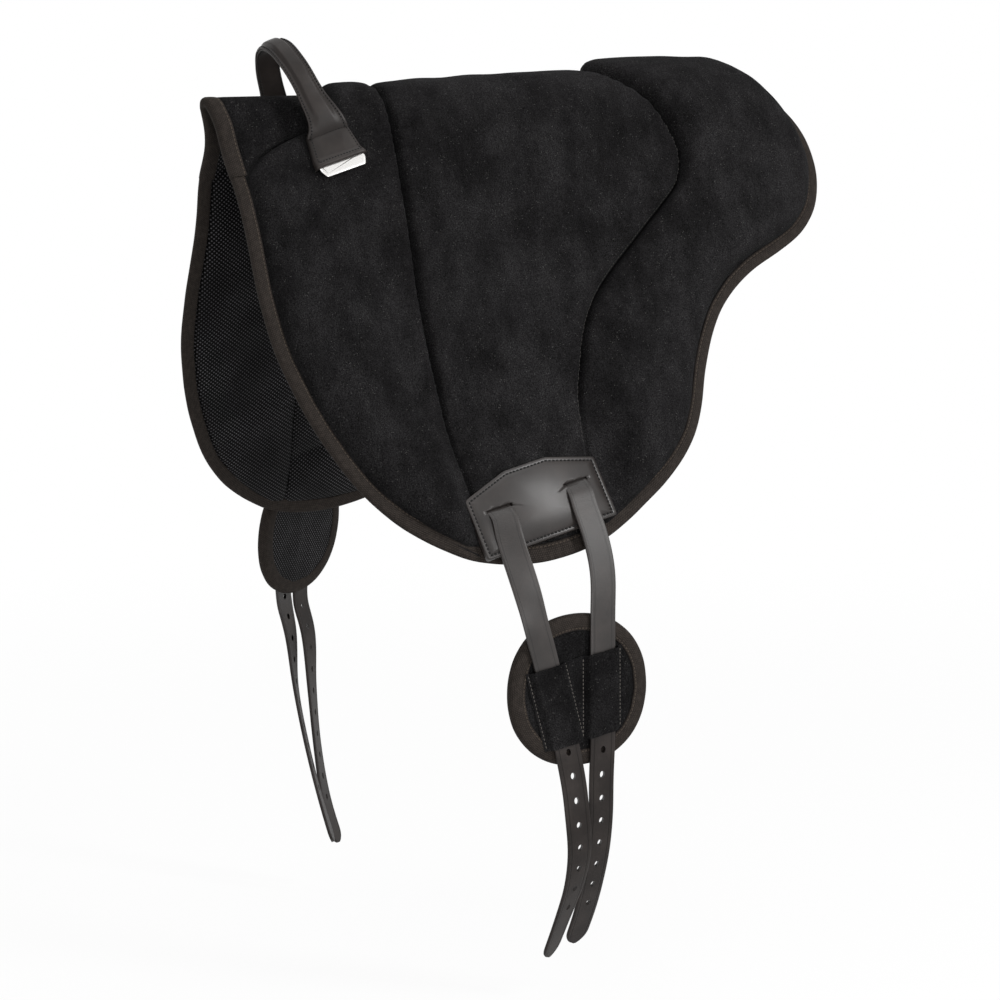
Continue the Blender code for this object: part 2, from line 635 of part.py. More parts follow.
def make_plate(side, label):
    width, corner = PLATE_WIDTH, PLATE_CORNER
    outline = [(corner, 0.0), (width - corner, 0.0), (width, corner), (width, PLATE_SIDE - corner)]
    outline += [(width - corner, PLATE_SIDE + corner / 2)]
    for share, rise_share in PLATE_TOP_SHARES:
        outline.append((width * share, PLATE_SIDE + PLATE_PEAK * rise_share))
    outline += [(corner, PLATE_SIDE + corner / 2), (0.0, PLATE_SIDE - corner), (0.0, corner)]
    height = plate_height()
    holes = []
    for number in (0, 1):
        across, above = slot_centre(number)
        holes.append([(across + x, above + y) for x, y in round_box(SLOT_WIDTH, SLOT_HEIGHT, SLOT_CORNER, 2)])

    def placed(points):
        flat = np.array([plate_place(x, y) for x, y in points])
        return [Vector(point) for point in bend(flat[:, 0], side * flat[:, 1], height)]

    bm = bmesh.new()
    pierced_sheet(bm, placed(outline), [placed(hole) for hole in holes])
    middle = plate_place(width / 2, PLATE_SIDE / 2)
    step = bend(middle[0], side * middle[1], height + PLATE_THICKNESS) - bend(middle[0], side * middle[1], height)
    thicken(bm, step)
    finish(f"{label}_girth_plate", bm, LEATHER)


def unit(vector):
    vector = np.asarray(vector, float)
    return vector / np.linalg.norm(vector)


def slot_seat(side, number):
    """Where a billet leaves its slot: its place, and the slot's line from front to rear."""
    height = plate_height() + PLATE_THICKNESS + LAYER_GAP + BILLET_THICKNESS / 2
    across, above = slot_centre(number)
    y, d = plate_place(across, above)
    ahead = plate_place(across + SLOT_WIDTH, above)
    here = bend(y, side * d, height)
    line = unit(bend(ahead[0], side * ahead[1], height) - here)
    return here, line


def strap_stations(points, wides, count):
    """Centres, steps, face directions, width directions and distances along a strap."""
    points = np.array(points)
    lengths = np.append(0.0, np.cumsum(np.linalg.norm(np.diff(points, axis=0), axis=1)))
    at = np.linspace(0.0, lengths[-1], count)
    centres = along(lengths, points, at)
    step = np.gradient(centres, axis=0)
    step = step / np.linalg.norm(step, axis=1)[:, None]
    wide = along(lengths, np.array(wides), at)
    wide = wide - step * (wide * step).sum(axis=1)[:, None]
    wide = wide / np.linalg.norm(wide, axis=1)[:, None]
    return centres, step, np.cross(step, wide), wide, at


def sweep(name, stations, widths, profile, look, caps=()):
    """Carry a section along a strap: each corner is (share of the width, height off the strap's line)."""
    centres, _, face, wide, _ = stations
    rings = [centres + wide * (widths * across)[:, None] + face * height for across, height in profile]
    return tube(name, np.stack(rings, axis=1), look, caps=caps)


def guard_frame(side):
    """Middle of a guard's front face, with its directions to the tail, up and out."""
    centre, turn, lean, tilt = GUARD_PLACES[side]
    out = np.array([side * math.cos(turn), -side * math.sin(turn) * side, 0.0])
    tail = np.array([math.sin(turn) * side, math.cos(turn), 0.0])
    up = np.array([0.0, 0.0, 1.0])
    leaning = out * math.cos(lean) + up * math.sin(lean)
    rising = up * math.cos(lean) - out * math.sin(lean)
    wide = tail * math.cos(tilt) + rising * math.sin(tilt)
    high = rising * math.cos(tilt) - tail * math.sin(tilt)
    return np.array(centre), wide, high, leaning


def guard_point(side, across, above, out):
    centre, wide, high, leaning = guard_frame(side)
    return centre + wide * across + high * above + leaning * out


def tunnel_place(number, above):
    """Place across the guard of a billet's line, at a height above the guard's middle."""
    top, bottom = (share * GUARD_HALF_WIDTH for share in TUNNEL_SHARES[number])
    share = (KEEPER_TOP - above) / (KEEPER_TOP + KEEPER_BOTTOM)
    return top + (bottom - top) * share


def billet_route(side, number):
    """Points and width directions of a billet from its slot, over the guard and down to its tip."""
    start, line = slot_seat(side, number)
    wide = guard_frame(side)[1]
    points, wides = [start], [line]
    for above, along_line, out in LEAD_SHARES[side][number]:
        points.append(start + BILLET_HANG * np.array([side * out, along_line, -above]))
        wides.append(line)
    middle = GUARD_BEHIND + BILLET_THICKNESS / 2
    low = GUARD_HALF_HEIGHT + STRAIGHT_BELOW
    edge = tunnel_place(number, KEEPER_TOP) + LEAD_SLOPES[number] * (GUARD_HALF_HEIGHT - KEEPER_TOP)
    points.append(guard_point(side, edge, GUARD_HALF_HEIGHT, middle))
    wides.append(wide)
    for above in (KEEPER_TOP, 0.0, -KEEPER_BOTTOM):
        points.append(guard_point(side, tunnel_place(number, above), above, middle))
        wides.append(wide)
    for below in (GUARD_HALF_HEIGHT, low):
        edge = tunnel_place(number, -KEEPER_BOTTOM) + TAIL_SLOPES[number] * (below - KEEPER_BOTTOM)
        points.append(guard_point(side, edge, -below, middle))
        wides.append(wide)
    last = points[-1]
    for drop, back, inward, twist in TAIL_SHARES[side][number]:
        points.append(last + BILLET_TAIL * np.array([-side * inward, back, -drop]))
        turn = BILLET_TWIST * twist
        wides.append((-math.sin(turn), math.cos(turn), 0.0))
    return points, wides


def make_billet(side, number, name, holes):
    stations = strap_stations(*billet_route(side, number), BILLET_STATIONS)
    centres, _, face, _, at = stations
    table = np.array(BILLET_TIP_SHARES)
    widths = BILLET_WIDTH * np.interp(at / at[-1], table[:, 0], table[:, 1])
    half = BILLET_THICKNESS / 2
    profile = ((-0.5, -half), (0.5, -half), (0.5, half), (-0.5, half))
    strap = sweep(name, stations, widths, profile, LEATHER)
    bm = bmesh.new()
    for index in range(holes):
        place = at[-1] - LAST_HOLE_TO_TIP[number] - index * HOLE_PITCH
        centre = [np.interp(place, at, centres[:, axis]) for axis in range(3)]
        way = [np.interp(place, at, face[:, axis]) for axis in range(3)]
        turn = Vector(way).to_track_quat("Z", "Y").to_matrix().to_4x4()
        turn.translation = Vector(centre)
        bmesh.ops.create_cone(bm, cap_ends=True, segments=HOLE_SIDES, radius1=HOLE_DIAMETER / 2,
                              radius2=HOLE_DIAMETER / 2, depth=OVERRUN, matrix=turn)
    cutter = finish(f"{name}_hole_cutter", bm, LEATHER)
    cutter.hide_render = True
    cutter.display_type = "WIRE"
    cut = strap.modifiers.new("holes", "BOOLEAN")
    cut.operation = "DIFFERENCE"
    cut.solver = "EXACT"
    cut.object = cutter


def guard_outline(grow):
    """Nearly round outline of a guard, moved out by grow."""
    turns = np.linspace(0.0, 2 * math.pi, GUARD_SIDES, endpoint=False)
    power = 2.0 / GUARD_SQUARENESS
    across = np.sign(np.cos(turns)) * np.abs(np.cos(turns)) ** power * GUARD_HALF_WIDTH
    above = np.sign(np.sin(turns)) * np.abs(np.sin(turns)) ** power * GUARD_HALF_HEIGHT
    outline = np.stack([across, above], axis=1)
    return outline + outline / np.linalg.norm(outline, axis=1)[:, None] * grow


def guard_layer(side, name, front, thickness, look):
    rings = []
    for out in (front, front - thickness):
        rings.append([guard_point(side, across, above, out) for across, above in guard_outline(0.0)])
    tube(name, np.array(rings), look)


def make_guard(side, label):
    guard_layer(side, f"{label}_guard_face", 0.0, GUARD_FACE, SUEDE)
    guard_layer(side, f"{label}_guard_core", -GUARD_FACE - LAYER_GAP, GUARD_CORE, FOAM)
    behind = GUARD_FACE + GUARD_CORE + 2 * LAYER_GAP
    guard_layer(side, f"{label}_guard_lining", -behind, GUARD_LINING, MESH)
    low = -behind - GUARD_LINING - LAYER_GAP
    wall, leg = BINDING_THICKNESS, -BINDING_LEG
    profile = ((leg, low - wall), (LAYER_GAP, low - wall), (LAYER_GAP + wall, low),
               (LAYER_GAP + wall, LAYER_GAP), (LAYER_GAP, LAYER_GAP + wall), (leg, LAYER_GAP + wall),
               (leg, LAYER_GAP), (LAYER_GAP, LAYER_GAP), (LAYER_GAP, low), (leg, low))
    rings = []
    for grow, out in profile:
        rings.append([guard_point(side, across, above, out) for across, above in guard_outline(grow)])
    tube(f"{label}_guard_binding", np.array(rings).transpose(1, 0, 2), TAPE, closed=True)
    make_keeper(side, label)


def sloped_place(number, above):
    """Place of a billet's line where the keeper's sloping row, at a height above the middle, meets it."""
    place = tunnel_place(number, above)
    return tunnel_place(number, above + KEEPER_SLOPE * place)


def make_keeper(side, label):
    """The leather keeper: flat where it is sewn down, raised into a tunnel over each billet."""
    seat = LAYER_GAP + BINDING_THICKNESS + LAYER_GAP
    roof = GUARD_BEHIND + BILLET_THICKNESS + TUNNEL_HEADROOM
    half = BILLET_WIDTH / 2 + TUNNEL_CLEARANCE
    margin = KEEPER_MARGIN
    rings = []
    for above in (KEEPER_TOP, 0.0, -KEEPER_BOTTOM):
        first, second = (sloped_place(number, above) for number in (0, 1))
        places = [(first - half - margin, seat), (first - half, seat),
                  (first - half + TUNNEL_SLOPE, roof), (first + half - TUNNEL_SLOPE, roof),
                  (first + half, seat), (second - half, seat),
                  (second - half + TUNNEL_SLOPE, roof), (second + half - TUNNEL_SLOPE, roof),
                  (second + half, seat), (second + half + margin, seat)]
        under = [guard_point(side, across, above + KEEPER_SLOPE * across, out) for across, out in places]
        over = [guard_point(side, across, above + KEEPER_SLOPE * across, out + KEEPER_THICKNESS)
                for across, out in reversed(places)]
        rings.append(under + over)
    last = len(rings[0]) - 1
    caps = tuple((index, index + 1, last - index - 1, last - index) for index in range(last // 2))
    tube(f"{label}_guard_keeper", np.array(rings), LEATHER, caps=caps)


def outer_height(y, drop):
    """Height of the cover's outer face on the front panel."""
    return LINING_THICKNESS + 2 * LAYER_GAP + foam_height("front", y, drop) + COVER_THICKNESS


def patch_flat(across, down):
    """Flat place on a handle patch, by shares across it and down it."""
    top_left, top_right, bottom_right, bottom_left = (np.array(corner) * PAD_LENGTH for corner in PATCH_SHARES)
    top = top_left + (top_right - top_left) * across
    bottom = bottom_left + (bottom_right - bottom_left) * across
    return top + (bottom - top) * down


def patch_point(side, across, down, above):
    y, drop = patch_flat(across, down)
    return bend(y, side * drop, outer_height(y, drop) + PATCH_SEAT + above)


def patch_length():
    return np.linalg.norm(patch_flat(0.5, 1.0) - patch_flat(0.5, 0.0))


def make_patch(side, label):
    """Leather patch sewn over the handle's end, down to the fold that holds the dee."""
    fold = 2 * (DEE_BAR / 2 + CHAPE_CLEARANCE + CHAPE_WALL) + LAYER_GAP
    last = 1.0 - fold / patch_length()
    across = np.linspace(0.0, 1.0, PATCH_COLUMNS)
    down = np.linspace(0.0, last, PATCH_ROWS)
    sheets = []
    for above in (0.0, PATCH_THICKNESS):
        sheets.append(np.array([[patch_point(side, a, b, above) for a in across] for b in down]))
    slab(f"{label}_handle_patch", sheets[0], sheets[1], LEATHER)


def dee_frame(side):
    """Middle of a dee's bar, with its directions along the bar, down the side and out."""
    radius = DEE_BAR / 2 + CHAPE_CLEARANCE + CHAPE_WALL
    share = 1.0 - radius / patch_length()
    lift = radius + LAYER_GAP
    middle = patch_point(side, 0.5, share, lift)
    bar = unit(patch_point(side, 1.0, share, lift) - patch_point(side, 0.0, share, lift))
    down = patch_point(side, 0.5, 1.0, lift) - patch_point(side, 0.5, 0.0, lift)
    down = unit(down - bar * (down @ bar))
    return middle, bar, down, unit(np.cross(down, bar)) * side


def make_dee(side, label):
    middle, bar, down, out = dee_frame(side)
    half = DEE_WIDTH / 2
    inner = half - DEE_LEG
    top = -DEE_BAR / 2
    band = DEE_BAR / 2 + 2 * CHAPE_CLEARANCE + CHAPE_WALL
    bottom = band + DEE_BAND
    low_half = half - DEE_TAPER
    outline = [(-half + DEE_CORNER, top), (half - DEE_CORNER, top), (half, top + DEE_CORNER),
               (half, band), (low_half, bottom - DEE_CORNER), (low_half - DEE_CORNER, bottom),
               (-low_half + DEE_CORNER, bottom), (-low_half, bottom - DEE_CORNER), (-half, band),
               (-half, top + DEE_CORNER)]
    hole = [(-inner, DEE_BAR / 2), (inner, DEE_BAR / 2), (inner, band), (-inner, band)]

    def placed(points):
        return [Vector(middle + bar * x + down * y - out * DEE_THICKNESS / 2) for x, y in points]

    bm = bmesh.new()
    pierced_sheet(bm, placed(outline), [placed(hole)])
    thicken(bm, out * DEE_THICKNESS)
    finish(f"{label}_dee", bm, NICKEL)
    inside = DEE_BAR / 2 + CHAPE_CLEARANCE
    reach = inner - DEE_SIDE_GAP
    rings = []
    for turn in np.linspace(0.0, 2 * math.pi, CHAPE_SIDES, endpoint=False):
        way = down * math.cos(turn) + out * math.sin(turn)
        rings.append([middle + way * radius + bar * end for radius, end in
                      ((inside, -reach), (inside, reach), (inside + CHAPE_WALL, reach),
                       (inside + CHAPE_WALL, -reach))])
    tube(f"{label}_dee_chape", np.array(rings), LEATHER, closed=True)


def make_handle():
    """Grab handle: top leather, core and leather underside, arched from patch to patch."""
    foot = patch_point(1, 0.5, -HANDLE_FOOT_GAP / patch_length(), HANDLE_LIFT)
    edge = unit(patch_point(1, 1.0, 0.0, HANDLE_LIFT) - patch_point(1, 0.0, 0.0, HANDLE_LIFT))
    crest = unit((0.0, HANDLE_RISE, HANDLE_FORWARD))
    half, wides = [], []
    for share_out, share_forward, share_up in HANDLE_SHARES:
        half.append((foot[0] * share_out, foot[1] - HANDLE_FORWARD * share_forward,
                     foot[2] + HANDLE_RISE * share_up))
        wides.append(crest + (edge - crest) * max(0.0, 1.0 - share_up / HANDLE_FLARE_SHARE))
    mirror = np.array([-1.0, 1.0, 1.0])
    points = half + [tuple(np.array(point) * mirror) for point in half[-2::-1]]
    all_wides = wides + [wide * mirror for wide in wides[-2::-1]]
    stations = strap_stations(points, all_wides, HANDLE_STATIONS)
    share = stations[4] / stations[4][-1]
    near_end = np.clip(1.0 - np.minimum(share, 1.0 - share) / HANDLE_FLARE_LENGTH_SHARE, 0.0, 1.0)
    widths = HANDLE_WIDTH + (HANDLE_FOOT_WIDTH - HANDLE_WIDTH) * near_end**2
    skin, core = HANDLE_LEATHER, HANDLE_CORE
    roof = core + 2 * LAYER_GAP
    outer = [(share, skin + roof * raised) for share, raised in HANDLE_OUTER_SHARES]
    inner = [(share, roof * raised) for share, raised in HANDLE_INNER_SHARES]
    sweep("handle_strap", stations, widths, outer + inner, LEATHER, HANDLE_CAPS)
    for name, half_share, low, high, look in (
            ("handle_core", HANDLE_CORE_SHARE / 2, LAYER_GAP, LAYER_GAP + core, FOAM),
            ("handle_underlay", HANDLE_UNDERLAY_SHARE / 2, -LAYER_GAP - skin, -LAYER_GAP, LEATHER)):
        section = ((-half_share, low), (half_share, low), (half_share, high), (-half_share, high))
        sweep(name, stations, widths, section, look)


def main():
    clear_scene()
    make_root()
    make_handle()
    for side, label in ((1, "left"), (-1, "right")):
        make_flap(side, label)
        make_plate(side, label)
        make_patch(side, label)
        make_dee(side, label)
        make_guard(side, label)
        make_billet(side, 0, f"{label}_front_billet", FRONT_HOLES)
        make_billet(side, 1, f"{label}_rear_billet", REAR_HOLES)


main()
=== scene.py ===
"""Looks of a bareback riding pad: suede panels, lining, tape, leather, dees and guards, on the CAD frame."""
import math

import bmesh
import bpy
import numpy as np
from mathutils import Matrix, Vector


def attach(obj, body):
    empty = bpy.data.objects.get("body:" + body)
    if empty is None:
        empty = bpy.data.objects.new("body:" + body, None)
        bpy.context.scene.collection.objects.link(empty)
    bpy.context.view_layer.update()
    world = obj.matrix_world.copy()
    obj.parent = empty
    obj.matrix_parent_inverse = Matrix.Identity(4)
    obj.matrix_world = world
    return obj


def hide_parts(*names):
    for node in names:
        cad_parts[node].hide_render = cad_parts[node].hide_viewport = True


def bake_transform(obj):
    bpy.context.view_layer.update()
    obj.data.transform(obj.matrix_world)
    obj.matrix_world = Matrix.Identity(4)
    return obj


bl_info = {
    "name": "Bareback pad",
    "version": (1, 0, 0),
    "blender": (4, 5, 0),
    "location": "3D View > Sidebar > Pad",
    "description": "Builds a bareback riding pad with its handle, billets and guards",
    "category": "Object",
}

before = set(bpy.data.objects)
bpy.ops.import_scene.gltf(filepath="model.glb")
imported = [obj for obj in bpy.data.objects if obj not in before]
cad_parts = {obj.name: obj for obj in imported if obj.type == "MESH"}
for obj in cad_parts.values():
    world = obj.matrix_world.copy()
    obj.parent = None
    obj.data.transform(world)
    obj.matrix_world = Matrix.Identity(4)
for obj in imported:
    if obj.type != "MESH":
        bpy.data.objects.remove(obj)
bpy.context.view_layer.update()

# The pad as it is cut flat and as it is bent, in metres, with the same values as the CAD source
PAD_LENGTH = 0.581
FLAP_DROP = 0.4555
BOTTOM_SAG = 0.013
SAG_START = 0.330
MOUNT_PLACE = 0.290
RIDGE_RADIUS_FRONT = 0.008
RIDGE_RADIUS_REAR = 0.104
SIDE_LEAN = math.radians(26.5)
FAR_PULL = 0.0125
RIDGE_RISE = 0.018
PINCH = 0.011
PINCH_DEPTH = 0.050
PINCH_REACH = 0.028
PINCH_LENGTH = 0.110
FOLD_DROP = 0.124

LINING_THICKNESS = 0.0030
COVER_THICKNESS = 0.0012
LAYER_GAP = 0.0003
FRONT_FOAM = 0.0120
SEAT_FOAM = 0.0120
SEAT_FOAM_REAR = 0.0205
REAR_FOAM = 0.0290
FLAP_FOAM = 0.0165
PLATE_FOAM = 0.0050
PLATE_TAPER_START = 0.285
PLATE_TAPER_END = 0.3475
PAD_BASE = LINING_THICKNESS + LAYER_GAP
RIM_TOP = PAD_BASE + COVER_THICKNESS

# Curves on the flat pad, each a list of (share of the flap's drop, share of the pad's length)
FRONT_EDGE_SHARES = ((0.0, 0.002), (0.062, 0.017), (0.18, 0.023), (0.27, 0.026), (0.45, 0.027),
                     (0.54, 0.034), (0.62, 0.049), (0.69, 0.066), (0.766, 0.091), (0.83, 0.117),
                     (0.882, 0.146), (0.927, 0.180), (0.967, 0.221), (1.0, 0.262))
REAR_EDGE_SHARES = ((0.0, 0.962), (0.08, 0.967), (0.155, 0.981), (0.222, 0.993), (0.29, 0.998),
                    (0.345, 0.990), (0.395, 0.971), (0.438, 0.936), (0.467, 0.893), (0.496, 0.843),
                    (0.531, 0.803), (0.567, 0.773), (0.613, 0.747), (0.656, 0.729), (0.711, 0.710),
                    (0.777, 0.691), (0.831, 0.668), (0.878, 0.636), (0.916, 0.600), (0.951, 0.558),
                    (0.973, 0.531), (1.0, 0.492))
FRONT_SEAM_SHARES = ((0.0, 0.284), (0.14, 0.284), (0.32, 0.276), (0.50, 0.264), (0.65, 0.262),
                     (0.78, 0.272), (0.89, 0.286), (1.0, 0.292))
REAR_SEAM_SHARES = ((0.0, 0.662), (0.067, 0.694), (0.122, 0.724), (0.178, 0.740), (0.233, 0.748),
                    (0.271, 0.744), (0.311, 0.729), (0.344, 0.702), (0.382, 0.668), (0.427, 0.628),
                    (0.467, 0.592), (0.507, 0.561), (0.556, 0.534), (0.611, 0.513), (0.69, 0.495),
                    (0.78, 0.487), (1.0, 0.478))
# How much of FAR_PULL the right side hangs closer in, by share of the flap's drop
FAR_PULL_SHARES = ((0.0, 0.0), (0.13, 0.0), (0.26, 1.0), (0.72, 1.0), (1.0, 0.45))
FOAM_FRONT_SHARES = ((0.0, 0.205), (0.055, 0.198), (0.085, 0.186), (0.100, 0.164), (0.104, 0.146),
                     (0.110, 0.126), (0.120, 0.104), (0.136, 0.080), (0.162, 0.056), (0.19, 0.045))

# Grid of the suede and the lining: first rows at the ridge, rows before the rim, columns between the lines
GRID_FIRST_ROWS = (0.0, 0.0004, 0.003)
GRID_RIM_ROWS = (0.022, 0.020)
GRID_COLUMNS = (26, 40, 46, 40, 9)

# Padding as it is sewn
RIM_REACH = 0.0118
PAD_ROLL = 0.020
REAR_ROLL = 0.040
PAD_CROWN_SHARE = 0.10
SEAM_HEIGHT_SHARE = 0.66
RIM_HEIGHT_SHARE = 0.10
SEAM_DEPTH = 0.0070
SEAM_HALF_WIDTH = 0.0024
PUCKER = 0.0012
PUCKER_PITCH = 0.0115
PUCKER_REACH = 0.0110
LINING_PUFF = 0.0060
LINING_TRIM = 0.0001
# Slope and bend of the lining's cross seam over the plate's width
CROSS_SEAM_SLOPE = 0.022
CROSS_SEAM_BEND = 0.020
MESH_PITCH = 0.0030
# Soft unevenness of suede and keeper: (height, pitch, seed), and the pitch of the others
SUEDE_UNEVEN = ((0.0008, 0.085, 11), (0.00035, 0.034, 12))
KEEPER_UNEVEN = ((0.0004, 0.020, 71), (0.00035, 0.022, 72))
LINING_UNEVEN_PITCH = 0.060
TAPE_UNEVEN_PITCH = 0.045
TAPE_LIFT_PITCH = 0.028
GUARD_UNEVEN_PITCH = 0.030
GUARD_TAPE_UNEVEN_PITCH = 0.028
POMMEL_PAD = 0.0022

# Width of a strap's round edge in its map, where its outer face begins, and the pressed line inside each edge
STRAP_FACE_START = 0.0050
STRAP_LINE_INSET = 0.0026

# Rows of stitches: pitch, length and thickness, the seam's without its pitch, and the threads
PLATE_STITCH = (0.0036, 0.0026, 0.0015)
PATCH_STITCH = (0.0029, 0.0018, 0.0013)
HANDLE_STITCH = (0.0029, 0.0017, 0.0013)
KEEPER_STITCH = (0.0034, 0.0023, 0.0007)
SEAM_STITCH = (0.0026, 0.0007)
BLACK_THREAD = ("black_thread", (0.004, 0.004, 0.004))
PALE_THREAD = ("pale_thread", (0.11, 0.10, 0.09))
SEAM_THREAD = ("seam_thread", (0.034, 0.031, 0.028))

# Tape
ARCH_TAPE_DROP = 0.079
ARCH_TAPE_OVERLAP = 0.006
TAPE_SPACING = 0.0028
TAPE_RIB_PITCH = 0.0023
TAPE_THREAD_PITCH = 0.0016
TAPE_STITCH_PITCH = 0.0040
TAPE_STITCH_PLACE = 0.0030
# How much wider the tape is at the flap's bottom and round the guards
BOTTOM_TAPE_SHARE = 0.32
GUARD_TAPE_SHARE = 0.22
# Section of the tape: (share of its width inwards, share of the way from the lining to the suede)
TAPE_SECTION_SHARES = ((0.985, 1.09), (1.0, 1.20), (0.975, 1.30), (0.80, 1.345), (0.52, 1.365),
                       (0.20, 1.33), (0.03, 1.19), (-0.08, 0.95), (-0.13, 0.5), (-0.08, 0.05),
                       (0.03, -0.19), (0.20, -0.32), (0.52, -0.36), (0.80, -0.34), (0.975, -0.30),
                       (1.0, -0.20), (0.985, -0.09), (0.02, -0.075), (0.02, 1.075))

# Girth plate and its slots
PLATE_WIDTH = 0.130
PLATE_SIDE = 0.057
PLATE_PEAK = 0.014
PLATE_THICKNESS = 0.0024
PLATE_TURN = math.radians(9.7)
PLATE_FRONT = 0.1645
PLATE_BOTTOM = 0.4635
PLATE_CORNER = 0.0032
PLATE_HEIGHT = 0.0106
SLOT_WIDTH = 0.028
SLOT_HEIGHT = 0.0050
SLOT_ABOVE_BOTTOM = 0.040
SLOT_SPACING = 0.076
# How much of a slot stays open once its billet pulls on it, across and along, and the plate's cushioned rise
OPEN_SLOT_SHARES = (0.89, 0.70)
PLATE_DOME = 0.0030
# Rings of the plate's dome, its edge's section and its stitches' line: (inset, height), both in thicknesses
PLATE_DOME_SHARES = (0.90, 0.78, 0.62, 0.45, 0.28, 0.12, 0.03)
PLATE_SECTION_SHARES = ((0.0, -0.9), (0.0, 0.55), (0.06, 0.74), (0.18, 0.84), (1.0, 0.88), (1.3, 0.78),
                        (1.6, 0.78), (1.9, 0.98))
PLATE_STITCH_LINE = (1.45, 0.84)

# Billets
BILLET_WIDTH = 0.025
BILLET_THICKNESS = 0.0032
BILLET_HANG = 0.080
BILLET_TAIL = 0.174
BILLET_TWIST = math.radians(62.0)
HOLE_PITCH = 0.022
FRONT_HOLES = 11
REAR_HOLES = 11
LAST_HOLE_TO_TIP = (0.057, 0.048)
HOLE_HALF_LENGTH = 0.0031
HOLE_HALF_WIDTH = 0.0023
BILLET_SPACING = 0.0020
LIMP_STATIONS = 6
BILLET_TIP_SHARE = 0.62
# How much the shown strap is thinner than the solid, and how far its width wanders
BILLET_THINNING = 0.0002
BILLET_UNEVEN = 0.0004
BILLET_UNEVEN_PITCH = 0.12

# Guards
GUARD_HALF_WIDTH = 0.0667
GUARD_HALF_HEIGHT = 0.0652
GUARD_SQUARENESS = 2.15
GUARD_FACE = 0.0012
GUARD_CORE = 0.0030
GUARD_LINING = 0.0018
GUARD_BEHIND = 0.0030
GUARD_RING_SHARES = (1.0, 1.0, 0.97, 0.9, 0.8, 0.66, 0.5, 0.34, 0.18, 0.05)
GUARD_SUEDE_DOME = 0.0010
GUARD_MESH_DOME = -0.0022
STRAIGHT_BELOW = 0.012
LEAD_SLOPES = (-0.29, 0.0)
TAIL_SLOPES = (0.22, -0.04)
TUNNEL_CLEARANCE = 0.0040
TUNNEL_HEADROOM = 0.0010
KEEPER_TOP = 0.029
KEEPER_BOTTOM = 0.044
KEEPER_SLOPE = 0.20
KEEPER_MARGIN = 0.0038
KEEPER_THICKNESS = 0.0012
# How far the keeper's roof falls inside and outside its tunnel's edge, and where its stitches run
ROOF_INSIDE = 0.0026
ROOF_OUTSIDE = 0.0014
KEEPER_SEAM = 0.0019
KEEPER_SEAM_END = 0.002
KEEPER_RISEN = 0.001
KEEPER_MAP_WIDTH = 0.1
TAPE_THICKNESS = 0.0011
LEFT_GUARD_CENTRE = (0.2460, -0.0440, -0.5140)
RIGHT_GUARD_CENTRE = (-0.2690, -0.0810, -0.4250)
RIGHT_GUARD_TURN = math.radians(32.5)
RIGHT_GUARD_LEAN = math.radians(7.5)
RIGHT_GUARD_TILT = math.radians(5.0)
GUARD_PLACES = {1: (LEFT_GUARD_CENTRE, 0.0, 0.0, 0.0),
                -1: (RIGHT_GUARD_CENTRE, RIGHT_GUARD_TURN, RIGHT_GUARD_LEAN, RIGHT_GUARD_TILT)}
TUNNEL_SHARES = ((-0.54, -0.235), (0.31, 0.318))
# How far the front left billet turns its face forwards on the way to its guard
LEAD_TURN_SHARES = {(1, 0): (0.30, 0.34, 0.16)}
LEAD_SHARES = {1: (((0.33, 0.018, 0.20), (0.74, 0.104, 0.33), (0.96, 0.150, 0.39)),
                   ((0.285, 0.034, 0.17), (0.56, 0.08, 0.29), (0.93, 0.12, 0.385))),
               -1: (((-0.03, -0.01, 0.22),),
                    ((-0.04, -0.06, 0.32), (0.06, -0.12, 0.62)))}
TAIL_SHARES = {1: (((0.190, 0.015, -0.020, 0.02), (0.370, 0.051, 0.021, 0.10), (0.569, 0.070, 0.107, 0.28),
                    (0.751, 0.062, 0.205, 0.42), (0.986, 0.041, 0.325, 0.50)),
                   ((0.222, 0.026, 0.049, 0.03), (0.403, 0.040, 0.101, 0.08), (0.598, 0.050, 0.182, 0.13),
                    (0.779, 0.062, 0.285, 0.17), (0.945, 0.052, 0.371, 0.20))),
               -1: (((0.155, 0.022, 0.031, 0.62), (0.497, 0.034, 0.081, 0.95), (0.833, 0.069, 0.158, 1.0),
                     (1.170, 0.118, 0.256, 1.0), (1.385, 0.164, 0.310, 0.97)),
                    ((0.187, 0.031, 0.040, 0.52), (0.532, 0.036, 0.087, 0.77), (0.871, 0.046, 0.135, 0.84),
                     (1.213, 0.078, 0.195, 0.74), (1.443, 0.125, 0.250, 0.66)))}

# Handle, patches and dees
PATCH_STITCH_SHARES = ((0.07, 0.04), (0.93, 0.04), (0.93, 0.83), (0.07, 0.83), (0.07, 0.04))
PATCH_SHARES = ((0.138, 0.098), (0.203, 0.081), (0.224, 0.1325), (0.139, 0.153))
HANDLE_SHARES = ((1.0, 0.0, 0.0), (0.8, 0.36, 0.40), (0.53, 0.76, 0.78), (0.22, 0.96, 0.965), (0.0, 1.0, 1.0))
HANDLE_FLARE_SHARE = 0.6
HANDLE_FLARE_LENGTH_SHARE = 0.25
HANDLE_WIDTH = 0.024
HANDLE_LEATHER = 0.0015
HANDLE_CORE = 0.0026
HANDLE_RISE = 0.077
HANDLE_FORWARD = 0.030
HANDLE_LIFT = 0.0042
HANDLE_FLARE_WIDTH = 0.042
HANDLE_TUCK_SHARE = 0.09
HANDLE_TUCK_LIFT = 0.0008
HANDLE_TUCK_REACH = 0.016
HANDLE_SPACING = 0.0022
HANDLE_THREAD_RISE = 0.0003
HANDLE_THREAD_SHARE = 0.425
HANDLE_UNDER_TRIM = 0.0006
PATCH_THICKNESS = 0.0026
PATCH_SEAT = 0.0008
PATCH_PAD = 0.0026
PATCH_FOLD = 0.0034
DEE_WIDTH = 0.046
DEE_BAR = 0.0026
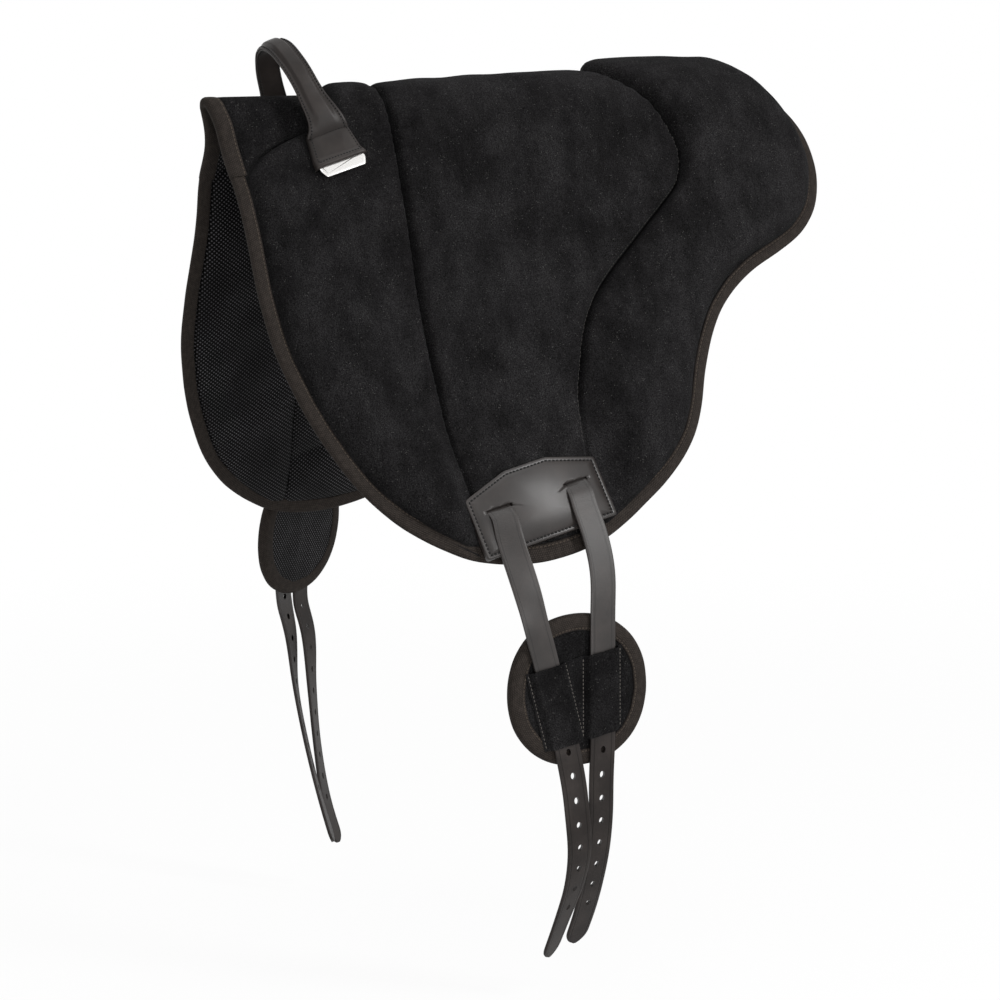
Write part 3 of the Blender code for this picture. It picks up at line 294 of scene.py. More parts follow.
DEE_BAND = 0.0085
DEE_THICKNESS = 0.0024
DEE_CORNER = 0.0020
DEE_MAP_STEP = 0.001
# Section of the dee's edge: (inset, height), both in thicknesses
DEE_SECTION_SHARES = ((0.5, -0.5), (0.12, -0.42), (0.0, -0.2), (0.0, 0.2), (0.12, 0.42), (0.5, 0.5),
                      (1.2, 0.5))
CHAPE_WALL = 0.0012
CHAPE_CLEARANCE = 0.0008

SIDES = ((1, "left"), (-1, "right"))


class PadSizes(bpy.types.PropertyGroup):
    """Sizes and colours that a user would change."""
    tape_width: bpy.props.FloatProperty(name="Tape width", description="Width of the binding on each face",
                                        default=0.0105, unit="LENGTH")
    arch_tape_width: bpy.props.FloatProperty(name="Arch tape", description="Width of the tape on the pommel",
                                             default=0.0125, unit="LENGTH")
    stitch_pitch: bpy.props.FloatProperty(name="Stitch pitch", description="Distance from stitch to stitch",
                                          default=0.0042, unit="LENGTH")
    suede: bpy.props.FloatVectorProperty(name="Suede", description="Colour of the napped suede", size=3,
                                         subtype="COLOR", default=(0.0150, 0.0145, 0.0149))
    tape: bpy.props.FloatVectorProperty(name="Tape", description="Colour of the binding tape", size=3,
                                        subtype="COLOR", default=(0.0185, 0.0151, 0.0130))
    mesh: bpy.props.FloatVectorProperty(name="Lining", description="Colour of the mesh lining", size=3,
                                        subtype="COLOR", default=(0.0190, 0.0185, 0.0195))
    leather: bpy.props.FloatVectorProperty(name="Leather", description="Colour of the smooth leather", size=3,
                                           subtype="COLOR", default=(0.0180, 0.0148, 0.0135))
    nickel: bpy.props.FloatVectorProperty(name="Nickel", description="Colour of the dees", size=3,
                                          subtype="COLOR", default=(0.78, 0.77, 0.75))


def sizes():
    """The sizes and colours in the sidebar."""
    return bpy.context.scene.bareback_pad


# Shape helpers

def along(places, values, at):
    """Smooth curve through (place, value) points: a cubic between each two, with averaged slopes."""
    places = np.asarray(places, float)
    values = np.asarray(values, float)
    at = np.clip(np.asarray(at, float), places[0], places[-1])
    steps = np.diff(places)
    rates = np.diff(values, axis=0) / (steps[:, None] if values.ndim > 1 else steps)
    slopes = np.empty_like(values)
    slopes[0] = rates[0]
    slopes[-1] = rates[-1]
    inner = steps[:-1] + steps[1:]
    first = (steps[1:] / inner)[:, None] if values.ndim > 1 else steps[1:] / inner
    slopes[1:-1] = rates[:-1] * first + rates[1:] * (1.0 - first)
    index = np.clip(np.searchsorted(places, at, side="right") - 1, 0, len(steps) - 1)
    step = steps[index]
    t = (at - places[index]) / step
    if values.ndim > 1:
        t = t[..., None]
        step = step[..., None]
    start, end = values[index], values[index + 1]
    lead = (t**3 - 2 * t**2 + t) * step * slopes[index] + (t**3 - t**2) * step * slopes[index + 1]
    return (2 * t**3 - 3 * t**2 + 1) * start + (3 * t**2 - 2 * t**3) * end + lead


def drop_curve(shares, drop):
    """Curve whose places are shares of the flap's drop."""
    table = np.array(shares)
    return along(table[:, 0] * FLAP_DROP, table[:, 1], np.abs(drop))


def curve_at(shares, drop):
    """Place along the pad of a flat curve at a drop."""
    table = np.array(shares)
    return along(table[:, 0] * FLAP_DROP, table[:, 1] * PAD_LENGTH, np.abs(drop))


def slope_at(shares, drop):
    """Slope of a flat curve, from its change over a short drop."""
    reach = RIM_REACH / 2
    before = np.clip(np.abs(drop) - reach, 0.0, FLAP_DROP)
    after = np.clip(np.abs(drop) + reach, 0.0, FLAP_DROP)
    return (curve_at(shares, after) - curve_at(shares, before)) / (after - before)


def bend(y, d, height):
    """Bend flat places over the ridge.

    Out is (radius + height) times the sine of the turn, plus the straight part along the lean. The radius
    grows evenly from the pommel to the cantle, and the pommel is drawn in by a bell-shaped pinch.
    """
    y, d, height = np.broadcast_arrays(*(np.asarray(value, float) for value in (y, d, height)))
    radius = RIDGE_RADIUS_FRONT + (RIDGE_RADIUS_REAR - RIDGE_RADIUS_FRONT) * y / PAD_LENGTH
    full_turn = math.pi / 2 - SIDE_LEAN
    reach = np.abs(d)
    turn = np.minimum(reach / radius, full_turn)
    straight = np.maximum(reach - radius * full_turn, 0.0)
    pinch = PINCH * np.exp(-((reach - PINCH_DEPTH) / PINCH_REACH) ** 2)
    pinch = pinch * np.clip(1.0 - y / PINCH_LENGTH, 0.0, 1.0)
    pull = np.where(d < 0.0, FAR_PULL * drop_curve(FAR_PULL_SHARES, reach), 0.0)
    out = (radius + height) * np.sin(turn) + straight * math.sin(SIDE_LEAN) - pinch - pull
    up = (radius + height) * np.cos(turn) - radius - straight * math.cos(SIDE_LEAN)
    up = up + RIDGE_RISE * (y - MOUNT_PLACE) / PAD_LENGTH
    return np.stack([np.sign(d) * out, y - MOUNT_PLACE, up], axis=-1)


def rolled(distance, reach=PAD_ROLL):
    """Quarter round from 0 at an edge to 1 at the reach."""
    share = np.clip(distance / reach, 0.0, 1.0)
    return np.sqrt(np.maximum(1.0 - (1.0 - share) ** 2, 0.0))


def eased(value, start, end):
    """Smooth step from 0 at start to 1 at end."""
    t = np.clip((value - start) / (end - start), 0.0, 1.0)
    return t * t * (3.0 - 2.0 * t)


def wander(a, b, pitch, seed):
    """Soft unevenness between -1 and 1: five crossed sine waves of about the given pitch."""
    rng = np.random.default_rng(seed)
    total = np.zeros(np.broadcast(a, b).shape)
    for _ in range(5):
        angle, phase = rng.uniform(0.0, 2 * math.pi, 2)
        rate = 2 * math.pi / pitch * rng.uniform(0.7, 1.4)
        total = total + np.sin((a * math.cos(angle) + b * math.sin(angle)) * rate + phase)
    return total / 3.2


def sag(y, drop):
    """How far the lower edge bulges down between the flap's front and rear."""
    front = curve_at(FRONT_EDGE_SHARES, drop)
    rear = curve_at(REAR_EDGE_SHARES, drop)
    place = np.clip((y - front) / (rear - front), 0.0, 1.0)
    reach = np.clip((drop - SAG_START) / (FLAP_DROP - SAG_START), 0.0, 1.0)
    return BOTTOM_SAG * reach**2 * (1.0 - (2.0 * place - 1.0) ** 2)


def pad_edges(drop):
    """Places of the pad's lines at a drop: edge, padding's front, two seams, padding's rear, edge."""
    front = curve_at(FRONT_EDGE_SHARES, drop)
    rear = curve_at(REAR_EDGE_SHARES, drop)
    seam_one = curve_at(FRONT_SEAM_SHARES, drop)
    seam_two = curve_at(REAR_SEAM_SHARES, drop)
    front_in = front + RIM_REACH * np.sqrt(1.0 + slope_at(FRONT_EDGE_SHARES, drop) ** 2)
    rear_in = rear - RIM_REACH * np.sqrt(1.0 + slope_at(REAR_EDGE_SHARES, drop) ** 2)
    table = np.array(FOAM_FRONT_SHARES)
    pommel = along(table[:, 0] * FLAP_DROP, table[:, 1] * PAD_LENGTH, drop)
    fade = eased(drop, table[-2, 0] * FLAP_DROP, table[-1, 0] * FLAP_DROP)
    start = np.maximum(pommel * (1.0 - fade) + front_in * fade, front_in)
    least = SEAM_HALF_WIDTH
    return (front, np.minimum(start, seam_one - least), seam_one, seam_two,
            np.maximum(rear_in, seam_two + least), rear)


def seam_dip(y, drop):
    """Closeness to a seam, from 1 on it to 0 away from it, with puckers that gather along it."""
    total = np.zeros_like(y)
    pucker = np.zeros_like(y)
    for shares, seed in ((FRONT_SEAM_SHARES, 3), (REAR_SEAM_SHARES, 4)):
        away = np.abs(y - curve_at(shares, drop)) / np.sqrt(1.0 + slope_at(shares, drop) ** 2)
        total = np.maximum(total, np.exp(-((away / SEAM_HALF_WIDTH) ** 2)))
        wave = np.sin(2 * math.pi * drop / PUCKER_PITCH + 2.0 * wander(0.0, drop, PUCKER_PITCH * 5, seed))
        pucker = pucker + wave * np.exp(-away / PUCKER_REACH) * (1.0 - np.exp(-away / SEAM_HALF_WIDTH))
    return total, pucker


def front_roll(drop):
    """How far the front padding takes to rise: short on the pommel, and as elsewhere further down."""
    return PAD_ROLL * (0.45 + 0.55 * eased(drop, FLAP_DROP * 0.17, FLAP_DROP * 0.24))


def pad_height(y, drop):
    """Height of the padded suede over its base: crowned panels, rolled at the rim, drawn in at the seams."""
    front, start, seam_one, seam_two, end, _ = pad_edges(drop)
    low = eased(drop, PLATE_TAPER_START, PLATE_TAPER_END)
    plate_rear = PLATE_FRONT + PLATE_WIDTH
    near_plate = eased(y, PLATE_FRONT - PLATE_SIDE / 2, PLATE_FRONT)
    low = low * near_plate * (1.0 - eased(y, plate_rear, plate_rear + PLATE_SIDE / 2))
    side = eased(drop, FOLD_DROP * 0.8, FOLD_DROP * 2.1)
    shapes = []
    way = np.clip((y - seam_one) / (seam_two - seam_one), 0.0, 1.0)
    seat = SEAT_FOAM + (SEAT_FOAM_REAR - SEAT_FOAM) * way
    for top, first, last, first_share, last_share, before, after in (
            (FRONT_FOAM, start, seam_one, RIM_HEIGHT_SHARE, SEAM_HEIGHT_SHARE, front_roll(drop), PAD_ROLL),
            (seat, seam_one, seam_two, SEAM_HEIGHT_SHARE, SEAM_HEIGHT_SHARE, PAD_ROLL, PAD_ROLL),
            (REAR_FOAM, seam_two, end, SEAM_HEIGHT_SHARE, RIM_HEIGHT_SHARE, PAD_ROLL, REAR_ROLL)):
        full = top + (FLAP_FOAM - top) * side
        full = full + (PLATE_FOAM - full) * low
        rise = first_share + (1.0 - first_share) * rolled(y - first, before)
        fall = last_share + (1.0 - last_share) * rolled(last - y, after)
        crown = 1.0 + PAD_CROWN_SHARE * np.sin(math.pi * np.clip((y - first) / (last - first), 0.0, 1.0))
        shapes.append(full * rise * fall * crown)
    bottom = rolled(FLAP_DROP - RIM_REACH - drop)
    height = np.where(y < seam_one, shapes[0], np.where(y < seam_two, shapes[1], shapes[2]))
    dip, pucker = seam_dip(y, drop)
    height = height * (RIM_HEIGHT_SHARE + (1.0 - RIM_HEIGHT_SHARE) * bottom)
    inside = eased(y, start - SEAM_HALF_WIDTH, start) * (1.0 - eased(y, end, end + SEAM_HALF_WIDTH))
    inside = inside * (1.0 - eased(drop, FLAP_DROP - RIM_REACH - SEAM_HALF_WIDTH, FLAP_DROP - RIM_REACH))
    soft = rolled(y - start) * rolled(end - y) * bottom
    off_patch = eased(drop, FLAP_DROP * 0.21, FLAP_DROP * 0.25)
    off_patch = off_patch + eased(y, PAD_LENGTH * 0.235, PAD_LENGTH * 0.26)
    off_patch = off_patch + 1.0 - eased(y, PAD_LENGTH * 0.10, PAD_LENGTH * 0.13)
    calm = (1.0 - 0.85 * low) * (0.25 + 0.75 * np.clip(off_patch, 0.0, 1.0))
    uneven = sum(rise * wander(y, drop, pitch, seed) for rise, pitch, seed in SUEDE_UNEVEN)
    height = height + soft * (uneven * calm + PUCKER * pucker) - SEAM_DEPTH * dip * (1.0 - 0.5 * low)
    pommel = POMMEL_PAD * rolled(y - front - RIM_REACH, PAD_ROLL / 4)
    pommel = pommel * (1.0 - eased(y, start - 3 * SEAM_HALF_WIDTH, start - SEAM_HALF_WIDTH))
    return np.maximum(height, 0.0) * inside + pommel


def make_mesh(name, points, faces, uvs=None):
    """A mesh from arrays of points and faces, with its faces turned outwards."""
    mesh = bpy.data.meshes.new(name)
    corners = [list(map(int, face)) for face in faces]
    mesh.from_pydata(np.asarray(points, float).reshape(-1, 3).tolist(), [], corners)
    if uvs is not None:
        layer = mesh.uv_layers.new(name="UVMap")
        layer.data.foreach_set("uv", np.asarray(uvs, np.float32).ravel())
    bm = bmesh.new()
    bm.from_mesh(mesh)
    bmesh.ops.recalc_face_normals(bm, faces=bm.faces)
    bm.to_mesh(mesh)
    bm.free()
    item = bpy.data.objects.new(name, mesh)
    bpy.context.collection.objects.link(item)
    mesh.shade_smooth()
    return item


def grid_faces(rows, columns, offset=0):
    """Corner numbers of every four-sided face of a grid of points."""
    index = np.arange(rows * columns).reshape(rows, columns) + offset
    return np.stack([index[:-1, :-1], index[:-1, 1:], index[1:, 1:], index[1:, :-1]], axis=-1).reshape(-1, 4)


def shell(name, top, bottom, flat):
    """Closed body between two sheets of points, with its own map of flat places, and sharp side walls."""
    rows, columns = top.shape[:2]
    count = rows * columns
    index = np.arange(count).reshape(rows, columns)
    rim = np.concatenate([index[0, :], index[1:, -1], index[-1, -2::-1], index[-2:0:-1, 0]])
    after = np.roll(rim, -1)
    walls = np.stack([rim, rim + count, after + count, after], axis=-1)
    faces = np.concatenate([grid_faces(rows, columns), grid_faces(rows, columns, count)[:, ::-1], walls])
    places = np.concatenate([flat.reshape(-1, 2), flat.reshape(-1, 2)])
    points = np.concatenate([top.reshape(-1, 3), bottom.reshape(-1, 3)])
    item = make_mesh(name, points, faces, places[faces.ravel()])
    item.data.set_sharp_from_angle(angle=math.radians(60.0))
    return item


def ring_sweep(name, rings, lengths, closed=False, sharp=50.0):
    """Solid from rings of points along a path, mapped by distance along it and round its section."""
    rings = np.asarray(rings, float)
    count, corners = rings.shape[:2]
    step = np.linalg.norm(np.roll(rings, -1, axis=1) - rings, axis=2).mean(axis=0)
    across = np.append(0.0, np.cumsum(step))
    index = np.arange(count * corners).reshape(count, corners)
    first, second = (index, np.roll(index, -1, axis=0)) if closed else (index[:-1], index[1:])
    faces = np.stack([first, np.roll(first, -1, axis=1), np.roll(second, -1, axis=1), second], axis=-1)
    faces = faces.reshape(-1, 4)
    lengths = np.asarray(lengths, float)
    here = lengths if closed else lengths[:-1]
    there = np.append(lengths[1:], lengths[-1] + lengths[1] - lengths[0]) if closed else lengths[1:]
    shape = (len(here), corners)
    u = np.stack([np.broadcast_to(part[:, None], shape) for part in (here, here, there, there)], axis=-1)
    near, far = across[:-1], across[1:]
    v = np.stack([np.broadcast_to(part[None, :], shape) for part in (near, far, far, near)], axis=-1)
    uvs = np.stack([u, v], axis=-1).reshape(-1, 2)
    all_faces = list(faces)
    if not closed:
        for ring, place in ((index[0][::-1], lengths[0]), (index[-1], lengths[-1])):
            all_faces.append(ring)
            uvs = np.concatenate([uvs, np.stack([np.full(corners, place), across[:-1]], axis=-1)])
    item = make_mesh(name, rings.reshape(-1, 3), all_faces, uvs)
    item.data.set_sharp_from_angle(angle=math.radians(sharp))
    return item


def unit(vector):
    """Vectors of length 1 along the last axis."""
    vector = np.asarray(vector, float)
    return vector / np.linalg.norm(vector, axis=-1, keepdims=True)


def distances(path):
    """Distance along a path at each of its points."""
    return np.append(0.0, np.cumsum(np.linalg.norm(np.diff(path, axis=0), axis=1)))


def read_at(at, distance, values):
    """Rows of values along a path, read at the given distances."""
    return np.stack([np.interp(at, distance, column) for column in np.asarray(values).T], axis=-1)


def running_mean(values, reach):
    """Mean of each row with the rows before and after it, as many as the reach on each side."""
    kernel = np.ones(2 * reach + 1) / (2 * reach + 1)
    padded = np.pad(values, ((reach, reach), (0, 0)), mode="edge")
    return np.stack([np.convolve(column, kernel, mode="valid") for column in padded.T], axis=1)


def framed(centres, wide, at):
    """Stations of a strap from its centres and rough widths: centres, steps, faces, widths and distances."""
    step = unit(np.gradient(centres, axis=0))
    wide = unit(wide - step * (wide * step).sum(axis=1)[:, None])
    return centres, step, np.cross(step, wide), wide, at


def stations_of(points, wides, spacing):
    """Stations along a strap through the given points."""
    points = np.array(points)
    lengths = distances(points)
    at = np.linspace(0.0, lengths[-1], int(lengths[-1] / spacing) + 2)
    return framed(along(lengths, points, at), along(lengths, np.array(wides), at), at)


def strap_section(edge_steps=4):
    """Corners of a flat strap's round-edged section: (share of width, share of thickness, edge share)."""
    turns = np.linspace(-math.pi / 2, math.pi / 2, edge_steps + 1)
    right = np.stack([np.full_like(turns, 0.5), np.sin(turns) / 2, np.cos(turns) - 1.0], axis=1)
    left = right[::-1] * np.array([-1.0, 1.0, -1.0])
    flat = np.linspace(0.4, -0.4, 7)
    over = np.stack([flat, np.full_like(flat, 0.5), flat * 0.0], axis=1)
    under = over[::-1] * np.array([1.0, -1.0, 1.0])
    return np.concatenate([right, over, left, under])


def strap(name, stations, widths, thickness, crown=0.0):
    """Strap with rounded edges: its section carried along the stations."""
    centres, _, face, wide, at = stations
    rings = []
    for across, through, edge in strap_section():
        reach = widths * across + edge * thickness / 2
        bulge = crown * (1.0 - (2.0 * across) ** 2) * np.sign(through) * (abs(across) < 0.5)
        rings.append(centres + wide * reach[:, None] + face * (through * thickness + bulge))
    return ring_sweep(name, np.stack(rings, axis=1), at)


def stitches(name, path, normals, pitch, length, thickness):
    """A row of sewn stitches: one small rounded bar every pitch along a path, all in one mesh."""
    path = np.asarray(path, float)
    distance = distances(path)
    count = max(int(distance[-1] / pitch), 1)
    at = (np.arange(count) + 0.5) * distance[-1] / count
    centre = read_at(at, distance, path)
    step = read_at(at + pitch / 9, distance, path) - read_at(at - pitch / 9, distance, path)
    step = unit(step + np.array([0.0, 0.0, 1e-9]))
    side = unit(np.cross(step, read_at(at, distance, normals)))
    up = np.cross(side, step)
    shape_along = np.array([-0.5, -0.3, 0.3, 0.5])
    shape_round = np.array([0.25, 1.0, 1.0, 0.25])
    turns = np.arange(5) * 2 * math.pi / 5
    points, faces = [], []
    for place, size in zip(shape_along, shape_round):
        for turn in turns:
            offset = side * math.cos(turn) + up * math.sin(turn)
            points.append(centre + step * place * length + offset * size * thickness / 2)
    points = np.stack(points, axis=1)
    index = np.arange(20).reshape(4, 5)
    around = np.roll(index, -1, axis=1)
    body = np.stack([index[:-1], around[:-1], around[1:], index[1:]], axis=-1).reshape(-1, 4)
    starts = np.arange(count) * 20
    quads = (body[None] + starts[:, None, None]).reshape(-1, 4)
    ends = np.stack([index[0][::-1], index[-1]])
    caps = (ends[None] + starts[:, None, None]).reshape(-1, 5)
    faces = list(quads) + list(caps)
    return make_mesh(name, points.reshape(-1, 3), faces)


# Materials

class Wire:
    """A value in a material's tree. Sums, products and quotients of wires add the Math nodes."""

    def __init__(self, paint, socket):
        self.paint = paint
        self.socket = socket

    def combine(self, operation, first, second=None):
        inputs = {0: first} if second is None else {0: first, 1: second}
        return self.paint.node("ShaderNodeMath", {"operation": operation}, inputs)

    def __add__(self, other):
        return self.combine("ADD", self, other)

    __radd__ = __add__

    def __sub__(self, other):
        return self.combine("SUBTRACT", self, other)

    def __rsub__(self, other):
        return self.combine("SUBTRACT", other, self)

    def __mul__(self, other):
        return self.combine("MULTIPLY", self, other)

    __rmul__ = __mul__

    def __truediv__(self, other):
        return self.combine("DIVIDE", self, other)

    def wave(self, pitch):
        """Sine wave of the given pitch, from 0 to 1."""
        return self.combine("SINE", self * (2 * math.pi / pitch)) * 0.5 + 0.5

    def size(self):
        return self.combine("ABSOLUTE", self)

    def part(self, other):
        return self.combine("MODULO", self, other)

    def step(self, low, high):
        """Smooth step from 0 at low to 1 at high."""
        settings = {"interpolation_type": "SMOOTHSTEP"}
        return self.paint.node("ShaderNodeMapRange", settings, {0: self, 1: low, 2: high})


class Paint:
    """A material being made, with its tree and its shader."""

    def __init__(self, name):
        self.material = bpy.data.materials.new(name)
        self.material.use_nodes = True
        self.tree = self.material.node_tree
        self.shader = self.tree.nodes["Principled BSDF"]
        self.coordinates = self.tree.nodes.new("ShaderNodeTexCoord")

    def node(self, kind, settings, inputs, output=0):
        """One node of any kind: its settings first, then the values or wires of its sockets."""
        item = self.tree.nodes.new(kind)
        for key, value in settings.items():
            setattr(item, key, value)
        for key, value in inputs.items():
            if isinstance(value, Wire):
                self.tree.links.new(value.socket, item.inputs[key])
            else:
                item.inputs[key].default_value = value
        return Wire(self, item.outputs[output])

    def place(self):
        """Place on the piece, in metres."""
        return Wire(self, self.coordinates.outputs["Object"])

    def flat(self, number):
        """One coordinate of the piece's own map, in metres."""
        chart = Wire(self, self.coordinates.outputs["UV"])
        return self.node("ShaderNodeSeparateXYZ", {}, {0: chart}, output=number)

    def axis(self, number):
        """One axis of the piece's place, in metres."""
        return self.node("ShaderNodeSeparateXYZ", {}, {0: self.place()}, output=number)

    def noise(self, scale, detail=2.0, rough=0.5, at=None):
        """Cloudy noise over the piece's place, or over another one."""
        inputs = {"Vector": at or self.place(), "Scale": scale, "Detail": detail, "Roughness": rough}
        return self.node("ShaderNodeTexNoise", {}, inputs)

    def cells(self, scale):
        """Distance to the nearest of many scattered points."""
        inputs = {"Vector": self.place(), "Scale": scale}
        return self.node("ShaderNodeTexVoronoi", {"feature": "F1"}, inputs)

    def stretched(self, x, y, z):
        """The piece's place with its axes stretched."""
        return self.node("ShaderNodeVectorMath", {"operation": "MULTIPLY"}, {0: self.place(), 1: (x, y, z)})

    def mix(self, factor, first, second):
        """Colour between the first and the second, which are colours or wires."""
        settings = {"data_type": "RGBA", "blend_type": "MIX"}
        inputs = {0: factor}
        for key, value in ((6, first), (7, second)):
            inputs[key] = value if isinstance(value, Wire) else (*value, 1.0)
        return self.node("ShaderNodeMix", settings, inputs, output=2)

    def bump(self, height, distance, strength=1.0, normal=None):
        """Relief from a height, over the relief of another normal if given."""
        inputs = {"Height": height, "Distance": distance, "Strength": strength}
        if normal is not None:
            inputs["Normal"] = normal
        return self.node("ShaderNodeBump", {}, inputs)

    def finish(self, colour, roughness, normal=None, **others):
        """Join colour, roughness, normal and other named inputs to the shader."""
        if not isinstance(colour, Wire):
            colour = (*colour, 1.0)
        sockets = {"Base Color": colour, "Roughness": roughness, **others}
        if normal is not None:
            sockets["Normal"] = normal
        for key, value in sockets.items():
            socket = self.shader.inputs[key.replace("_", " ")]
            if isinstance(value, Wire):
                self.tree.links.new(value.socket, socket)
            else:
                socket.default_value = value
        return self.material


def shade(colour, factor):
    """Colour made darker or lighter."""
    return tuple(min(channel * factor, 1.0) for channel in colour)


def material(name, maker):
    """The named material, made once."""
    return bpy.data.materials.get(name) or maker(name)


def suede(name):
    """Napped suede: broad brushed clouds, short fibres and a few pale specks."""
    paint = Paint(name)
    base = tuple(sizes().suede)
    clouds = paint.noise(11.0, 5.0, 0.60)
    brushed = paint.noise(32.0, 5.0, 0.66, paint.stretched(1.0, 1.4, 0.75))
    nap = paint.noise(880.0, 4.0, 0.72)
    fibre = paint.noise(1800.0, 3.0, 0.70)
    light = (clouds * 0.5 + brushed * 0.5).step(0.34, 0.68)
    hairs = (nap.step(0.36, 0.64) * 1.20 + 0.35) * (fibre.step(0.30, 0.70) * 1.1 + 0.45)
    tone = (light * 0.75 + 0.36) * hairs
    colour = paint.mix(tone / 3.0, (0.0, 0.0, 0.0), shade(base, 3.2))
    specks = (1.0 - paint.cells(430.0)).step(0.78, 0.90) * paint.noise(150.0, 1.0).step(0.50, 0.62)
    colour = paint.mix(specks * 0.60, colour, (0.100, 0.096, 0.092))
    normal = paint.bump(nap * 0.9 + fibre * 0.4 + brushed * 1.0, 0.0014, 0.8)
    return paint.finish(colour, 0.97, normal, Specular_IOR_Level=0.03, Sheen_Weight=0.010,
                        Sheen_Roughness=0.35, Sheen_Tint=(0.80, 0.82, 0.88, 1.0))


def tape(name):
    """Ribbed binding tape with a row of stitches near its inner edge."""
    paint = Paint(name)
    base = tuple(sizes().tape)
    u, v = paint.flat(0), paint.flat(1)
    rib = (u + v * 0.9).wave(TAPE_RIB_PITCH)
    thread = v.wave(TAPE_THREAD_PITCH)
    worn = paint.noise(260.0, 3.0, 0.6)
    colour = paint.mix(rib * thread, shade(base, 0.65), shade(base, 1.9))
    colour = paint.mix(worn.step(0.40, 0.70) * 0.35, colour, shade(base, 2.2))
    run = (u.part(TAPE_STITCH_PITCH) / TAPE_STITCH_PITCH - 0.5).size()
    beside = (v - TAPE_STITCH_PLACE).size()
    line = 1.0 - beside.step(0.00025, 0.0006)
    stitch = line * (1.0 - run.step(0.26, 0.36))
    colour = paint.mix(stitch * 0.8, colour, (0.070, 0.056, 0.044))
    groove = 1.0 - beside.step(0.0003, 0.0013)
    normal = paint.bump(rib * 0.20 + thread * 0.18 + stitch * 0.9 - groove * 0.7, 0.0006, 0.9)
    return paint.finish(colour, 0.80, normal, Specular_IOR_Level=0.08, Sheen_Weight=0.0)


def mesh_lining(name):
    """Spacer mesh: rows of small pale knots on a slanting grid, with painted shade in the openings between
    them.
    """
    paint = Paint(name)
    base = tuple(sizes().mesh)
    u, v = paint.flat(0), paint.flat(1)
    knot = ((u * 0.80 + v * 0.60).wave(MESH_PITCH) * (u * 0.60 - v * 0.80).wave(MESH_PITCH)).step(0.34, 0.62)
    soft = paint.noise(22.0, 2.0)
    colour = paint.mix(soft.step(0.35, 0.70), shade(base, 2.2), shade(base, 4.0))
    # Near black between the knots: painted shade inside the mesh's openings
    colour = paint.mix(knot, (0.0006, 0.0006, 0.0006), colour)
    normal = paint.bump(knot, 0.0008, 0.8)
    return paint.finish(colour, 0.60, normal, Specular_IOR_Level=0.06, Sheen_Weight=0.0)


def leather(name, gloss=0.40, cushion=0.0):
    """Smooth satin leather with a fine grain. A cushion falls off round a girth plate's middle."""
    paint = Paint(name)
    base = tuple(sizes().leather)
    grain = paint.cells(1150.0)
    pores = paint.noise(2600.0, 2.0, 0.6)
    clouds = paint.noise(34.0, 3.0, 0.55)
    colour = paint.mix(clouds.step(0.35, 0.70), shade(base, 0.80), shade(base, 1.30))
    roughness = clouds * 0.12 + pores * 0.08 + (gloss - 0.10)
    normal = None
    if cushion:
        middle = plate_point(1, PLATE_WIDTH * 0.41, PLATE_SIDE * 1.04, PLATE_HEIGHT)
        away = [paint.axis(number) - middle[number] for number in (1, 2)]
        normal = paint.bump(0.0 - (away[0] * away[0] + away[1] * away[1] * 1.6) * cushion, 1.0, 1.0)
    normal = paint.bump(grain * 0.35 + pores * 0.30 + clouds * 1.2, 0.00016, 0.6, normal)
    return paint.finish(colour, roughness, normal, Specular_IOR_Level=0.38 if cushion else 0.17)


def strap_leather(name):
    """Billet leather: grain, a pressed line inside each edge, flex wrinkles under the slot."""
    paint = Paint(name)
    base = tuple(sizes().leather)
    u, v = paint.flat(0), paint.flat(1)
    grain = paint.cells(1100.0)
    pores = paint.noise(2400.0, 2.0, 0.6)
    clouds = paint.noise(40.0, 3.0, 0.55)
    wrinkle = paint.noise(420.0, 2.0, 0.5, paint.stretched(1.0, 0.25, 2.2))
    near_top = 1.0 - u.step(0.014, 0.055)
    edges = (STRAP_LINE_INSET, BILLET_WIDTH - BILLET_THICKNESS - STRAP_LINE_INSET)
    lines = [1.0 - (v - (STRAP_FACE_START + edge)).size().step(0.0002, 0.0007) for edge in edges]
    line = lines[0] + lines[1]
    colour = paint.mix(clouds.step(0.35, 0.70), shade(base, 0.85), shade(base, 1.35))
    colour = paint.mix(line * 0.6, colour, shade(base, 0.35))
    roughness = clouds * 0.12 + pores * 0.08 + 0.36
    creases = wrinkle.step(0.52, 0.60) * (near_top + 0.10)
    height = grain * 0.30 + pores * 0.25 - line * 1.6 - creases * 1.1
    normal = paint.bump(height, 0.00028, 0.8)
    polish = (1.0 - u.step(0.17, 0.25)) * 0.55
    return paint.finish(colour, roughness, normal, Specular_IOR_Level=0.13, Coat_Weight=polish,
                        Coat_Roughness=0.40)


def nickel(name):
    """Bright nickel with faint polishing lines."""
    paint = Paint(name)
    lines = paint.noise(500.0, 2.0, 0.5, paint.stretched(0.2, 0.2, 3.0))
    roughness = lines * 0.10 + 0.13
    normal = paint.bump(lines, 0.00003, 0.5)
    return paint.finish(tuple(sizes().nickel), roughness, normal, Metallic=1.0)


def thread_of(colour):
    """Maker of a twisted thread's material in one colour."""
    def maker(name):
        paint = Paint(name)
        twist = paint.noise(2200.0, 1.0)
        tone = paint.mix(twist, shade(colour, 0.7), shade(colour, 1.3))
        return paint.finish(tone, 0.75, paint.bump(twist, 0.0001, 0.6), Specular_IOR_Level=0.3)
    return maker


def dress(item, look, body=None, replaced=()):
    """Give a piece its look, body and replaced nodes."""
    item.data.materials.clear()
    item.data.materials.append(look)
    if body:
        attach(item, body)
    if replaced:
        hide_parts(*replaced)
    return item


def sew(name, path, normals, stitch, body, thread=BLACK_THREAD):
    """A row of stitches on one body."""
    look, colour = thread
    item = stitches(name, path, normals, *stitch)
    return dress(item, material(look, thread_of(colour)), body, ())


